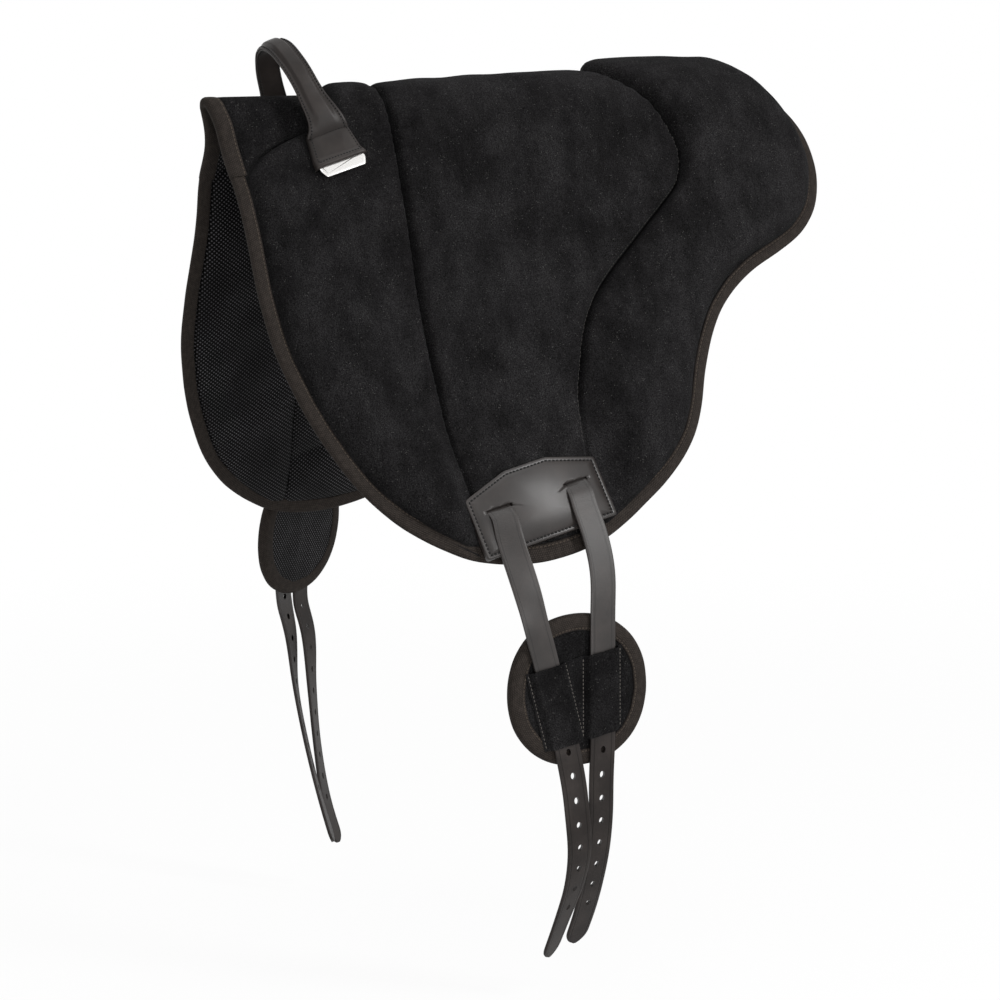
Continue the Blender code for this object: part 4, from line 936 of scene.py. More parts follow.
def across_fold(item, side):
    """Bake a piece's place into its mesh; the places it works out above and below the fold are not used."""
    start, end = (tuple(bend(MOUNT_PLACE, side * FOLD_DROP * share, FLAP_FOAM / 2)) for share in (0.72, 1.28))
    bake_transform(item)


# Panels, lining and tape

def pad_grid():
    """Flat places of one side of the pad: rows down the side, columns through its seams and rims."""
    low = FLAP_DROP - RIM_REACH
    rows = np.concatenate([GRID_FIRST_ROWS[:2], np.linspace(GRID_FIRST_ROWS[2], FLAP_DROP * 0.085, 10),
                           np.linspace(FLAP_DROP * 0.088, FLAP_DROP * 0.17, 46),
                           np.linspace(FLAP_DROP * 0.178, low - GRID_RIM_ROWS[0], 94),
                           np.linspace(low - GRID_RIM_ROWS[1], FLAP_DROP, 18)])
    lines = pad_edges(rows)
    columns = [lines[0][:, None]]
    for first, last, count in zip(lines[:-1], lines[1:], GRID_COLUMNS):
        share = (1.0 - np.cos(np.linspace(0.0, math.pi, count + 1)[1:])) / 2
        columns.append(first[:, None] + (last - first)[:, None] * share[None, :])
    y = np.concatenate(columns, axis=1)
    return y, rows[:, None] * np.ones_like(y)


def suede_panels():
    """Padded suede of each side, over its foams."""
    y, drop = pad_grid()
    height = pad_height(y, drop)
    low = drop + sag(y, drop)
    flat = np.stack([y, low], axis=-1)
    for side, label in SIDES:
        near_ridge = side * np.maximum(low, 1e-6)
        top = bend(y, near_ridge, RIM_TOP + height)
        base = bend(y, near_ridge, PAD_BASE)
        item = shell(f"{label}_suede_panels", top, base, flat)
        nodes = [f"{label}_flap_cover", f"{label}_front_foam", f"{label}_thigh_foam", f"{label}_rear_foam",
                 "seat_cover", "front_foam", "seat_foam", "rear_foam"]
        dress(item, material("napped_suede", suede), None, nodes)
        across_fold(item, side)
        seam_thread(side, label)


def seam_thread(side, label):
    """Row of stitches beside the rear seam, on the seat panel."""
    drop = np.linspace(FLAP_DROP * 0.02, FLAP_DROP * 0.81, 400)
    beside = SEAM_HALF_WIDTH * 1.15 * np.sqrt(1.0 + slope_at(REAR_SEAM_SHARES, drop) ** 2)
    y = curve_at(REAR_SEAM_SHARES, drop) - beside
    low = side * (drop + sag(y, drop))
    height = RIM_TOP + pad_height(y, drop)
    path = bend(y, low, height)
    normals = bend(y, low, height + RIM_REACH) - path
    stitch = (sizes().stitch_pitch, *SEAM_STITCH)
    item = sew(f"{label}_rear_seam_stitches", path, normals, stitch, None, SEAM_THREAD)
    across_fold(item, side)


def lining_puff(y, drop):
    """How far the lining swells towards the horse between its seams."""
    _, start, seam_one, seam_two, end, _ = pad_edges(drop)
    roll = PAD_ROLL * 1.3
    rim = rolled(y - start, roll) * rolled(end - y, roll) * rolled(FLAP_DROP - RIM_REACH - drop, roll)
    seams = rolled(np.abs(y - seam_one), roll) * (0.35 + 0.65 * rolled(np.abs(y - seam_two), roll))
    place = (y - PLATE_FRONT) / PLATE_WIDTH
    line = PLATE_BOTTOM - PLATE_SIDE - PLATE_PEAK * 1.2
    line = line - CROSS_SEAM_SLOPE * place + CROSS_SEAM_BEND * (place - 0.5) ** 2
    inside = eased(y, seam_one, seam_one + SEAM_HALF_WIDTH)
    inside = inside * (1.0 - eased(y, seam_two - SEAM_HALF_WIDTH, seam_two))
    cross = 1.0 - inside * (1.0 - (0.25 + 0.75 * rolled(np.abs(drop - line), roll)))
    ridge = 0.25 + 0.75 * eased(drop, FLAP_DROP * 0.06, FLAP_DROP * 0.25)
    uneven = 1.0 + 0.10 * wander(y, drop, LINING_UNEVEN_PITCH, 21)
    return LINING_PUFF * rim * (0.12 + 0.88 * seams) * cross * ridge * uneven


def mesh_linings():
    """Mesh lining of each side, swollen between its seams."""
    y, drop = pad_grid()
    puff = lining_puff(y, drop)
    low = drop + sag(y, drop)
    flat = np.stack([y, low], axis=-1)
    for side, label in SIDES:
        near_ridge = side * np.maximum(low, 1e-6)
        top = bend(y, near_ridge, LINING_THICKNESS - LINING_TRIM)
        item = shell(f"{label}_mesh_lining", top, bend(y, near_ridge, -puff), flat)
        nodes = ["seat_lining", f"{label}_flap_lining"]
        dress(item, material("spacer_mesh", mesh_lining), None, nodes)
        across_fold(item, side)


def tape_piece(name, path, inward, width, grow, seed):
    """Tape folded round the edge: its U-shaped section carried along the flat edge, a little uneven."""
    distance = distances(path)
    rings = []
    for reach_share, height_share in TAPE_SECTION_SHARES:
        wave = 0.020 * wander(distance, reach_share * 0.01, TAPE_UNEVEN_PITCH, seed)
        reach = width * (reach_share + (wave if reach_share > 0.9 else wave * 0.4))
        lift = 1.0
        if abs(height_share - 0.5) > 0.75:
            lift = lift + 0.05 * wander(distance, 0.0, TAPE_LIFT_PITCH, seed + 1)
        height = RIM_TOP / 2 + (height_share - 0.5) * RIM_TOP * grow * lift
        flat = path + inward * reach[:, None]
        rings.append(bend(flat[:, 0], flat[:, 1], height))
    return ring_sweep(name, np.stack(rings, axis=1), distance, sharp=80.0)


def flat_inward(path, flip):
    """Directions square to a flat path, towards the pad's middle."""
    step = unit(np.gradient(path, axis=0))
    return np.stack([step[:, 1], -step[:, 0]], axis=1) * flip


def smoothed(path, width):
    """Path with its corners eased by a running mean, its two ends kept."""
    number = np.arange(len(path))
    fade = np.minimum(np.minimum(number, number[::-1]) / (2.0 * width), 1.0)[:, None]
    return path * (1.0 - fade) + running_mean(path, width) * fade


def evenly(path, spacing):
    """Flat path with its points at even distances."""
    distance = distances(path)
    return read_at(np.linspace(0.0, distance[-1], int(distance[-1] / spacing) + 1), distance, path)


def edge_line(shares, drop):
    """Flat path of an edge through the given drops."""
    return np.stack([curve_at(shares, drop), drop], axis=1)


def edge_tapes():
    """One tape round both flaps' edges to the cantle, and one over the pommel's arch."""
    tape_look = material("binding_tape", tape)
    width = sizes().tape_width
    drop = np.linspace(ARCH_TAPE_DROP - ARCH_TAPE_OVERLAP, FLAP_DROP, 160)
    front = edge_line(FRONT_EDGE_SHARES, drop)
    y = np.linspace(curve_at(FRONT_EDGE_SHARES, FLAP_DROP), curve_at(REAR_EDGE_SHARES, FLAP_DROP), 60)[1:-1]
    bottom = np.stack([y, FLAP_DROP + sag(y, FLAP_DROP)], axis=1)
    drop = np.linspace(FLAP_DROP, 0.0, 260)
    rear = edge_line(REAR_EDGE_SHARES, drop)
    path = smoothed(evenly(np.concatenate([front, bottom, rear]), TAPE_SPACING), 4)
    width = width * (1.0 + BOTTOM_TAPE_SHARE * eased(path[:, 1], FLAP_DROP * 0.86, FLAP_DROP * 0.98))
    for side, label in SIDES:
        flat = path * np.array([1.0, side])
        inward = flat_inward(flat, side)
        inward[-1] = (-1.0, 0.0)
        item = tape_piece(f"{label}_edge_tape", flat, inward, width, 1.0, 31)
        dress(item, tape_look, None, [f"{label}_flap_binding", "cantle_binding"])
        across_fold(item, side)
    drop = np.linspace(-ARCH_TAPE_DROP, ARCH_TAPE_DROP, 131)
    flat = edge_line(FRONT_EDGE_SHARES, drop)
    inward = np.zeros_like(flat) + (1.0, 0.0)
    item = tape_piece("arch_tape", flat, inward, sizes().arch_tape_width, 1.22, 35)
    dress(item, tape_look, "seat", ["front_arch_binding"])


# Girth plates and billets

def plate_place(across, above):
    """Flat place of a point on the girth plate."""
    y = PLATE_FRONT + across * math.cos(PLATE_TURN) - above * math.sin(PLATE_TURN)
    d = PLATE_BOTTOM - across * math.sin(PLATE_TURN) - above * math.cos(PLATE_TURN)
    return y, d


def plate_point(side, across, above, height):
    """Place of a point on the bent girth plate."""
    y, d = plate_place(np.asarray(across), np.asarray(above))
    return bend(y, side * d, height)


def slot_centre(number):
    """Middle of a slot on the plate: across and above its bottom."""
    return (PLATE_WIDTH + (2 * number - 1) * SLOT_SPACING) / 2, SLOT_ABOVE_BOTTOM


def rounded_corners(corners, radius, steps):
    """Outline through the corners, each cut and rounded by a curve that leaves it at the given distance."""
    corners = np.asarray(corners, float)
    before = corners + unit(np.roll(corners, 1, axis=0) - corners) * radius
    after = corners + unit(np.roll(corners, -1, axis=0) - corners) * radius
    t = np.linspace(0.0, 1.0, steps)[None, :, None]
    arcs = (1 - t) ** 2 * before[:, None] + 2 * t * (1 - t) * corners[:, None] + t**2 * after[:, None]
    return arcs.reshape(-1, 2)


def plate_outline(inset):
    """Outline of the plate moved inwards by the inset, with the same number of points on every inset."""
    shares = ((0.0, 0.0), (1.0, 0.0), (1.0, 1.0), (0.66, None), (0.34, None), (0.0, 1.0))
    peak = (PLATE_SIDE + PLATE_PEAK) / PLATE_SIDE
    corners = np.array([(across * PLATE_WIDTH, (peak if above is None else above) * PLATE_SIDE)
                        for across, above in shares])
    ahead = unit(np.roll(corners, -1, axis=0) - corners)
    inward = np.stack([-ahead[:, 1], ahead[:, 0]], axis=1)
    both = inward + np.roll(inward, 1, axis=0)
    corners = corners + both * (inset / (1.0 + (inward * np.roll(inward, 1, axis=0)).sum(axis=1)))[:, None]
    arcs = rounded_corners(corners, max(PLATE_CORNER - inset, PLATE_CORNER / 4), 7).reshape(len(shares), 7, 2)
    t = np.linspace(0.0, 1.0, 24)[1:-1][:, None]
    outline = [np.concatenate([arc, arc[-1] + (after[0] - arc[-1]) * t])
               for arc, after in zip(arcs, np.roll(arcs, -1, axis=0))]
    return np.concatenate(outline)


def inset_outline(outline, inset):
    """Outline moved inwards by the inset, square to itself."""
    step = unit(np.roll(outline, -1, axis=0) - np.roll(outline, 1, axis=0))
    return outline + np.stack([-step[:, 1], step[:, 0]], axis=1) * inset


def girth_plate(side, label):
    """Plate: rings of its outline from the lower rim over a rounded edge to the middle of a low dome."""
    middle = np.array([PLATE_WIDTH / 2, PLATE_SIDE / 2])
    rings = []
    edge = PLATE_THICKNESS
    for inset, rise in PLATE_SECTION_SHARES:
        flat = plate_outline(inset * edge)
        rings.append(plate_point(side, flat[:, 0], flat[:, 1], PLATE_HEIGHT + rise * edge))
    inner = plate_outline(PLATE_SECTION_SHARES[-1][0] * edge)
    for share in PLATE_DOME_SHARES:
        flat = middle + (inner - middle) * share
        dome = PLATE_DOME * (1.0 - share**2)
        rings.append(plate_point(side, flat[:, 0], flat[:, 1], PLATE_HEIGHT + edge + dome))
    lengths = np.arange(len(rings)) * edge
    item = ring_sweep(f"{label}_girth_plate_leather", np.array(rings), lengths, sharp=45.0)
    cutters = []
    for number in (0, 1):
        across, above = slot_centre(number)
        box = np.array([(-1, -1), (1, -1), (1, 1), (-1, 1)]) * OPEN_SLOT_SHARES
        box = rounded_corners(box * (SLOT_WIDTH, SLOT_HEIGHT) / 2 + (across, above), SLOT_HEIGHT / 4, 5)
        pair = [plate_point(side, box[:, 0], box[:, 1], PLATE_HEIGHT + reach * edge) for reach in (-2.0, 3.5)]
        cutters.append(ring_sweep("slot_cutter", np.array(pair), [0.0, edge]))
    carve(item, cutters)
    dress(item, material("plate_leather", lambda name: leather(name, 0.37, 2.0)), f"{label}_flap",
          [f"{label}_girth_plate"])
    inset, rise = PLATE_STITCH_LINE
    line = plate_outline(inset * edge)
    line = np.concatenate([line, line[:1]])
    path = plate_point(side, line[:, 0], line[:, 1], PLATE_HEIGHT + rise * edge)
    normals = plate_point(side, line[:, 0], line[:, 1], PLATE_HEIGHT + 3 * edge) - path
    sew(f"{label}_plate_stitches", path, normals, PLATE_STITCH, f"{label}_flap")


def carve(item, cutters):
    """Cut closed shapes out of a piece, exactly, and keep only the result."""
    for cutter in cutters:
        cut = item.modifiers.new("cut", "BOOLEAN")
        cut.operation = "DIFFERENCE"
        cut.solver = "EXACT"
        cut.object = cutter
    graph = bpy.context.evaluated_depsgraph_get()
    result = bpy.data.meshes.new_from_object(item.evaluated_get(graph))
    item.modifiers.clear()
    old = item.data
    item.data = result
    bpy.data.meshes.remove(old)
    for cutter in cutters:
        data = cutter.data
        bpy.data.objects.remove(cutter, do_unlink=True)
        bpy.data.meshes.remove(data)


def guard_frame(side):
    """Centre and directions of a guard: wide, high and outwards."""
    centre, turn, lean, tilt = GUARD_PLACES[side]
    out = np.array([side * math.cos(turn), -math.sin(turn), 0.0])
    tail = np.array([math.sin(turn) * side, math.cos(turn), 0.0])
    up = np.array([0.0, 0.0, 1.0])
    leaning = out * math.cos(lean) + up * math.sin(lean)
    rising = up * math.cos(lean) - out * math.sin(lean)
    wide = tail * math.cos(tilt) + rising * math.sin(tilt)
    high = rising * math.cos(tilt) - tail * math.sin(tilt)
    return np.array(centre), wide, high, leaning


def guard_point(side, across, above, out):
    """Place of a point on a guard."""
    centre, wide, high, leaning = guard_frame(side)
    across, above, out = np.broadcast_arrays(*(np.asarray(value, float) for value in (across, above, out)))
    return centre + wide * across[..., None] + high * above[..., None] + leaning * out[..., None]


def tunnel_place(number, above):
    """Place across a guard where a tunnel's middle runs."""
    top, bottom = (share * GUARD_HALF_WIDTH for share in TUNNEL_SHARES[number])
    return top + (bottom - top) * (KEEPER_TOP - above) / (KEEPER_TOP + KEEPER_BOTTOM)


def slot_seat(side, number):
    """Where a billet leaves its slot, and the slot's direction."""
    height = PLATE_HEIGHT + PLATE_THICKNESS + LAYER_GAP + BILLET_THICKNESS / 2
    across, above = slot_centre(number)
    here = plate_point(side, across, above, height)
    ahead = plate_point(side, across + SLOT_WIDTH, above, height)
    return here, unit(ahead - here)


def billet_route(side, number):
    """Points and width directions of a billet: out of its slot, over the guard and down to its tip."""
    start, line = slot_seat(side, number)
    wide = guard_frame(side)[1]
    across, above = slot_centre(number)
    points, wides = [], []
    for lower, rise in ((-0.95, -0.70), (0.05, 0.35), (1.15, 1.35 if side > 0 else 1.7)):
        height = PLATE_HEIGHT + rise * BILLET_THICKNESS
        points.append(plate_point(side, across, above - lower * SLOT_HEIGHT, height))
        wides.append(line)
    turns = LEAD_TURN_SHARES.get((side, number), (0.0, 0.0, 0.0))
    for (drop, back, out), turn in zip(LEAD_SHARES[side][number], turns):
        points.append(start + BILLET_HANG * np.array([side * out, back, -drop]))
        wides.append(unit(line + np.array([side * turn, 0.0, 0.0])))
    middle = GUARD_BEHIND + BILLET_THICKNESS / 2
    low = GUARD_HALF_HEIGHT + STRAIGHT_BELOW
    edge = tunnel_place(number, KEEPER_TOP) + LEAD_SLOPES[number] * (GUARD_HALF_HEIGHT - KEEPER_TOP)
    points.append(guard_point(side, edge, GUARD_HALF_HEIGHT, middle))
    wides.append(wide)
    for above in (KEEPER_TOP, 0.0, -KEEPER_BOTTOM):
        points.append(guard_point(side, tunnel_place(number, above), above, middle))
        wides.append(wide)
    for below in (GUARD_HALF_HEIGHT, low):
        edge = tunnel_place(number, -KEEPER_BOTTOM) + TAIL_SLOPES[number] * (below - KEEPER_BOTTOM)
        points.append(guard_point(side, edge, -below, middle))
        wides.append(wide)
    last = points[-1]
    for drop, back, inward, twist in TAIL_SHARES[side][number]:
        points.append(last + BILLET_TAIL * np.array([-side * inward, back, -drop]))
        turn = BILLET_TWIST * twist
        wides.append((-math.sin(turn), math.cos(turn), 0.0))
    return points, wides


def limp(stations):
    """Stations of a strap with its bends eased by a running mean, but for the tight bend out of its slot."""
    centres, _, _, wide, at = stations
    free = (eased(at, BILLET_WIDTH, 2 * BILLET_WIDTH) * eased(at[-1] - at, 0.0, BILLET_WIDTH))[:, None]
    centres = centres + (running_mean(centres, LIMP_STATIONS) - centres) * free
    wide = wide + (running_mean(wide, LIMP_STATIONS) - wide) * free
    return framed(centres, wide, at)


def billet(side, number, label, holes):
    """Billet with a rounded tip and a row of oval punched holes."""
    stations = limp(stations_of(*billet_route(side, number), BILLET_SPACING))
    at = stations[4]
    point = np.maximum(1.0 - (at[-1] - at) / (BILLET_WIDTH * BILLET_TIP_SHARE), 0.0)
    widths = BILLET_WIDTH * np.sqrt(np.maximum(1.0 - point**2.4, 0.03))
    widths = widths - BILLET_UNEVEN * (1.0 + wander(at, 0.0, BILLET_UNEVEN_PITCH, 41 + number))
    item = strap(f"{label}_billet_strap", stations, widths, BILLET_THICKNESS - BILLET_THINNING)
    cutters = []
    for index in range(holes):
        place = at[-1] - LAST_HOLE_TO_TIP[number] - index * HOLE_PITCH
        centre, along_way, out_way, side_way = (read_at(place, at, part) for part in stations[:4])
        turns = np.linspace(0.0, 2 * math.pi, 20, endpoint=False)
        oval = np.cos(turns)[:, None] * unit(along_way) * HOLE_HALF_LENGTH
        oval = oval + np.sin(turns)[:, None] * unit(side_way) * HOLE_HALF_WIDTH
        pair = [centre + oval + unit(out_way) * reach for reach in (-BILLET_THICKNESS, BILLET_THICKNESS)]
        cutters.append(ring_sweep("hole_cutter", np.array(pair), [0.0, BILLET_THICKNESS]))
    carve(item, cutters)
    item.data.shade_smooth()
    item.data.set_sharp_from_angle(angle=math.radians(42.0))
    dress(item, material("strap_leather", strap_leather), f"{label}_billet", [f"{label}_billet"])


def plates_and_billets():
    """Both girth plates and all four billets."""
    for side, label in SIDES:
        girth_plate(side, label)
        billet(side, 0, f"{label}_front", FRONT_HOLES)
        billet(side, 1, f"{label}_rear", REAR_HOLES)


# Guards

def guard_outline(grow, count=120):
    """Outline of a guard, between a circle and a square."""
    turns = np.linspace(0.0, 2 * math.pi, count, endpoint=False)
    power = 2.0 / GUARD_SQUARENESS
    across = np.sign(np.cos(turns)) * np.abs(np.cos(turns)) ** power * GUARD_HALF_WIDTH
    above = np.sign(np.sin(turns)) * np.abs(np.sin(turns)) ** power * GUARD_HALF_HEIGHT
    outline = np.stack([across, above], axis=1)
    return outline + unit(outline) * grow


def guard_cushion(side, name, front, back, dome, look, nodes, body):
    """Round padded layer: rings from its back rim over its edge to the middle of a low dome."""
    rings, lengths = [], []
    for number, share in enumerate(GUARD_RING_SHARES):
        outline = guard_outline(0.0) * share
        swell = dome * rolled(np.full(len(outline), (1.0 - share) * GUARD_HALF_WIDTH), GUARD_HALF_WIDTH * 0.5)
        uneven = 0.25 * dome * wander(outline[:, 0], outline[:, 1], GUARD_UNEVEN_PITCH, 51) * (share < 0.9)
        out = back if number == 0 else front + (swell + uneven)
        rings.append(guard_point(side, outline[:, 0], outline[:, 1], out))
        lengths.append(number * GUARD_HALF_WIDTH / (len(GUARD_RING_SHARES) - 1))
    item = ring_sweep(name, np.array(rings), lengths, sharp=60.0)
    radial_map(item, side)
    dress(item, look, body, nodes)
    return item


def radial_map(item, side):
    """Map of a guard's layers: the place across and above, in metres."""
    centre, wide, high, _ = guard_frame(side)
    points = np.empty(len(item.data.vertices) * 3)
    item.data.vertices.foreach_get("co", points)
    points = points.reshape(-1, 3) - centre
    corner = np.empty(len(item.data.loops), int)
    item.data.loops.foreach_get("vertex_index", corner)
    uv = np.stack([points @ wide, points @ high], axis=1)[corner]
    item.data.uv_layers[0].data.foreach_set("uv", uv.astype(np.float32).ravel())


def guard_tape(side, label):
    """Tape folded round a guard's edge."""
    low = -(GUARD_FACE + GUARD_CORE + GUARD_LINING + 2 * LAYER_GAP)
    rings = []
    outline = guard_outline(0.0, 160)
    distance = distances(outline)
    width = sizes().tape_width * (1.0 + GUARD_TAPE_SHARE)
    for reach_share, height_share in TAPE_SECTION_SHARES:
        wave = 0.03 * wander(outline[:, 0], outline[:, 1], GUARD_TAPE_UNEVEN_PITCH, 61)
        grow = -width * (reach_share + (wave if reach_share > 0.9 else 0.3 * wave))
        out = low / 2 + (height_share - 0.5) * -low
        points = outline + unit(outline) * grow[:, None]
        rings.append(guard_point(side, points[:, 0], points[:, 1], out))
    item = ring_sweep(f"{label}_guard_tape", np.stack(rings, axis=1), distance, closed=True, sharp=80.0)
    dress(item, material("binding_tape", tape), f"{label}_guard", [f"{label}_guard_binding"])


def keeper_profile(number_one, number_two, count=90):
    """Section of the keeper: flat on the guard, and rising smoothly over each of its two billets."""
    half = BILLET_WIDTH / 2 + TUNNEL_CLEARANCE
    low = number_one - half - KEEPER_MARGIN
    high = number_two + half + KEEPER_MARGIN
    across = np.linspace(low, high, count)
    seat = LAYER_GAP + TAPE_THICKNESS + LAYER_GAP
    roof = GUARD_BEHIND + BILLET_THICKNESS + TUNNEL_HEADROOM
    out = np.full(count, seat)
    for middle in (number_one, number_two):
        away = np.abs(across - middle)
        over = 1.0 - eased(away, half - ROOF_INSIDE, half + ROOF_OUTSIDE)
        out = np.maximum(out, seat + (roof - seat) * over)
    return across, out


def sloped_place(number, above):
    """Place of a billet's line where the keeper's sloping row meets it."""
    place = tunnel_place(number, above)
    return tunnel_place(number, above + KEEPER_SLOPE * place)


def keeper(side, label):
    """Keeper: its section carried down the guard in sloping rows, sewn down beside the two tunnels."""
    rows = np.linspace(KEEPER_TOP, -KEEPER_BOTTOM, 34)
    under, over = [], []
    for above in rows:
        across, out = keeper_profile(sloped_place(0, above), sloped_place(1, above))
        shift, ripple = (rise * wander(across, above, pitch, seed) for rise, pitch, seed in KEEPER_UNEVEN)
        lift = above + KEEPER_SLOPE * across + shift
        ripple = ripple * (out > out.min() + KEEPER_RISEN)
        under.append(guard_point(side, across, lift, out + ripple))
        over.append(guard_point(side, across, lift, out + KEEPER_THICKNESS + ripple))
    flat = np.stack(np.meshgrid(np.linspace(0.0, KEEPER_MAP_WIDTH, len(under[0])), rows), axis=-1)
    item = shell(f"{label}_keeper_suede", np.array(over), np.array(under), flat)
    dress(item, material("napped_suede", suede), f"{label}_guard", [f"{label}_guard_keeper"])
    half = BILLET_WIDTH / 2 + TUNNEL_CLEARANCE
    seat = LAYER_GAP + TAPE_THICKNESS + LAYER_GAP + KEEPER_THICKNESS
    for number, edge, word in ((0, -1, "first"), (0, 1, "second"), (1, -1, "third"), (1, 1, "fourth")):
        above = np.linspace(KEEPER_TOP - KEEPER_SEAM_END, -KEEPER_BOTTOM + KEEPER_SEAM_END, 60)
        across = np.array([sloped_place(number, value) for value in above]) + edge * (half + KEEPER_SEAM)
        path = guard_point(side, across, above + KEEPER_SLOPE * across, seat)
        normals = np.zeros_like(path) + guard_frame(side)[3]
        sew(f"{label}_keeper_{word}_stitches", path, normals, KEEPER_STITCH, f"{label}_guard",
            PALE_THREAD)


def guards():
    """Both guards: suede over the core, mesh behind, tape and keeper."""
    for side, label in SIDES:
        body = f"{label}_guard"
        depth = GUARD_FACE + LAYER_GAP + GUARD_CORE
        nodes = [f"{label}_guard_face", f"{label}_guard_core"]
        guard_cushion(side, f"{label}_guard_suede", 0.0, -depth, GUARD_SUEDE_DOME,
                      material("napped_suede", suede), nodes, body)
        behind = -depth - LAYER_GAP
        guard_cushion(side, f"{label}_guard_mesh", behind - GUARD_LINING, behind, GUARD_MESH_DOME,
                      material("spacer_mesh", mesh_lining), [f"{label}_guard_lining"], body)
        guard_tape(side, label)
        keeper(side, label)


# Handle, patches and dees

def outer_height(y, drop):
    """Height of the suede's outer face under a patch, without its finer unevenness."""
    _, start, seam_one = pad_edges(drop)[:3]
    side = eased(drop, FOLD_DROP * 0.8, FOLD_DROP * 2.1)
    full = FRONT_FOAM + (FLAP_FOAM - FRONT_FOAM) * side
    rise = RIM_HEIGHT_SHARE + (1.0 - RIM_HEIGHT_SHARE) * rolled(y - start, front_roll(drop))
    crown = 1.0 + PAD_CROWN_SHARE * np.sin(math.pi * np.clip((y - start) / (seam_one - start), 0.0, 1.0))
    return RIM_TOP + full * rise * crown


def patch_flat(across, down):
    """Flat place of a point on a handle patch."""
    corners = [np.array(corner) * PAD_LENGTH for corner in PATCH_SHARES]
    across, down = np.broadcast_arrays(np.asarray(across, float), np.asarray(down, float))
    top = corners[0] + (corners[1] - corners[0]) * across[..., None]
    bottom = corners[3] + (corners[2] - corners[3]) * across[..., None]
    return top + (bottom - top) * down[..., None]


def patch_point(side, across, down, above):
    """Place of a point over a handle patch's seat."""
    flat = patch_flat(across, down)
    height = outer_height(flat[..., 0], flat[..., 1]) + PATCH_SEAT + LAYER_GAP
    return bend(flat[..., 0], side * flat[..., 1], height + above)


def patch_length():
    """Height of a handle patch, top to bottom."""
    return float(np.linalg.norm(patch_flat(0.5, 1.0) - patch_flat(0.5, 0.0)))


def patch_rise(a, b):
    """Padding of a patch over its middle, and the swell of the fold at its lower edge."""
    swell = PATCH_PAD * rolled(np.minimum(a, 1.0 - a), 0.22) * rolled(np.minimum(b + 0.02, 1.0 - b), 0.25)
    return swell, PATCH_FOLD * eased(b, 0.70, 0.93)


def handle_patch(side, label):
    """Patch: a padded leather sheet that turns under in a round fold at its lower edge."""
    across = np.linspace(0.0, 1.0, 41)
    down = np.linspace(-0.02, 0.985, 41)
    a, b = np.meshgrid(across, down)
    swell, fold = patch_rise(a, b)
    edge = np.minimum(rolled(np.minimum(a, 1.0 - a) + 0.004, 0.035), rolled(0.992 - b, 0.05))
    top = patch_point(side, a, b, PATCH_THICKNESS * (0.35 + 0.65 * edge) + swell + fold)
    low = patch_point(side, a, b, 0.35 * fold)
    item = shell(f"{label}_patch_leather", top, low, patch_flat(a, b))
    dress(item, material("handle_leather", leather), "seat",
          [f"{label}_handle_patch", f"{label}_dee_chape"])
    path, normals = [], []
    for (a0, b0), (a1, b1) in zip(PATCH_STITCH_SHARES[:-1], PATCH_STITCH_SHARES[1:]):
        share = np.linspace(0.0, 1.0, 30)
        a, b = a0 + (a1 - a0) * share, b0 + (b1 - b0) * share
        swell, fold = patch_rise(a, b)
        lift = PATCH_THICKNESS + swell + fold
        path.append(patch_point(side, a, b, lift))
        normals.append(patch_point(side, a, b, lift + RIM_REACH) - path[-1])
    path, normals = np.concatenate(path), np.concatenate(normals)
    sew(f"{label}_patch_stitches", path, normals, PATCH_STITCH, "seat")


def dee(side, label):
    """Dee: a flat nickel loop whose band hangs below the patch, with rounded lower corners."""
    radius = DEE_BAR / 2 + CHAPE_CLEARANCE + CHAPE_WALL
    share = 1.0 - radius / patch_length()
    middle = patch_point(side, 0.5, share, radius)
    bar = unit(patch_point(side, 1.0, share, radius) - patch_point(side, 0.0, share, radius))
    down = patch_point(side, 0.5, 1.0, radius) - patch_point(side, 0.5, 0.0, radius)
    down = unit(down - bar * (down @ bar))
    out = unit(np.cross(down, bar)) * side
    half = DEE_WIDTH / 2
    top = -DEE_BAR / 2
    bottom = DEE_BAR / 2 + 2 * CHAPE_CLEARANCE + CHAPE_WALL + DEE_BAND
    corners = [(-half, top), (half, top), (half, bottom * 0.45), (half * 0.86, bottom),
               (-half * 0.86, bottom), (-half, bottom * 0.45)]
    outline = rounded_corners(corners, DEE_CORNER, 6)
    rings = []
    for inset, rise in DEE_SECTION_SHARES:
        flat = inset_outline(outline, inset * DEE_THICKNESS)
        rings.append(middle + bar * flat[:, :1] + down * flat[:, 1:] + out * rise * DEE_THICKNESS)
    lengths = np.arange(len(rings)) * DEE_MAP_STEP
    item = ring_sweep(f"{label}_dee_nickel", np.array(rings), lengths, sharp=60.0)
    dress(item, material("bright_nickel", nickel), f"{label}_dee", [f"{label}_dee"])


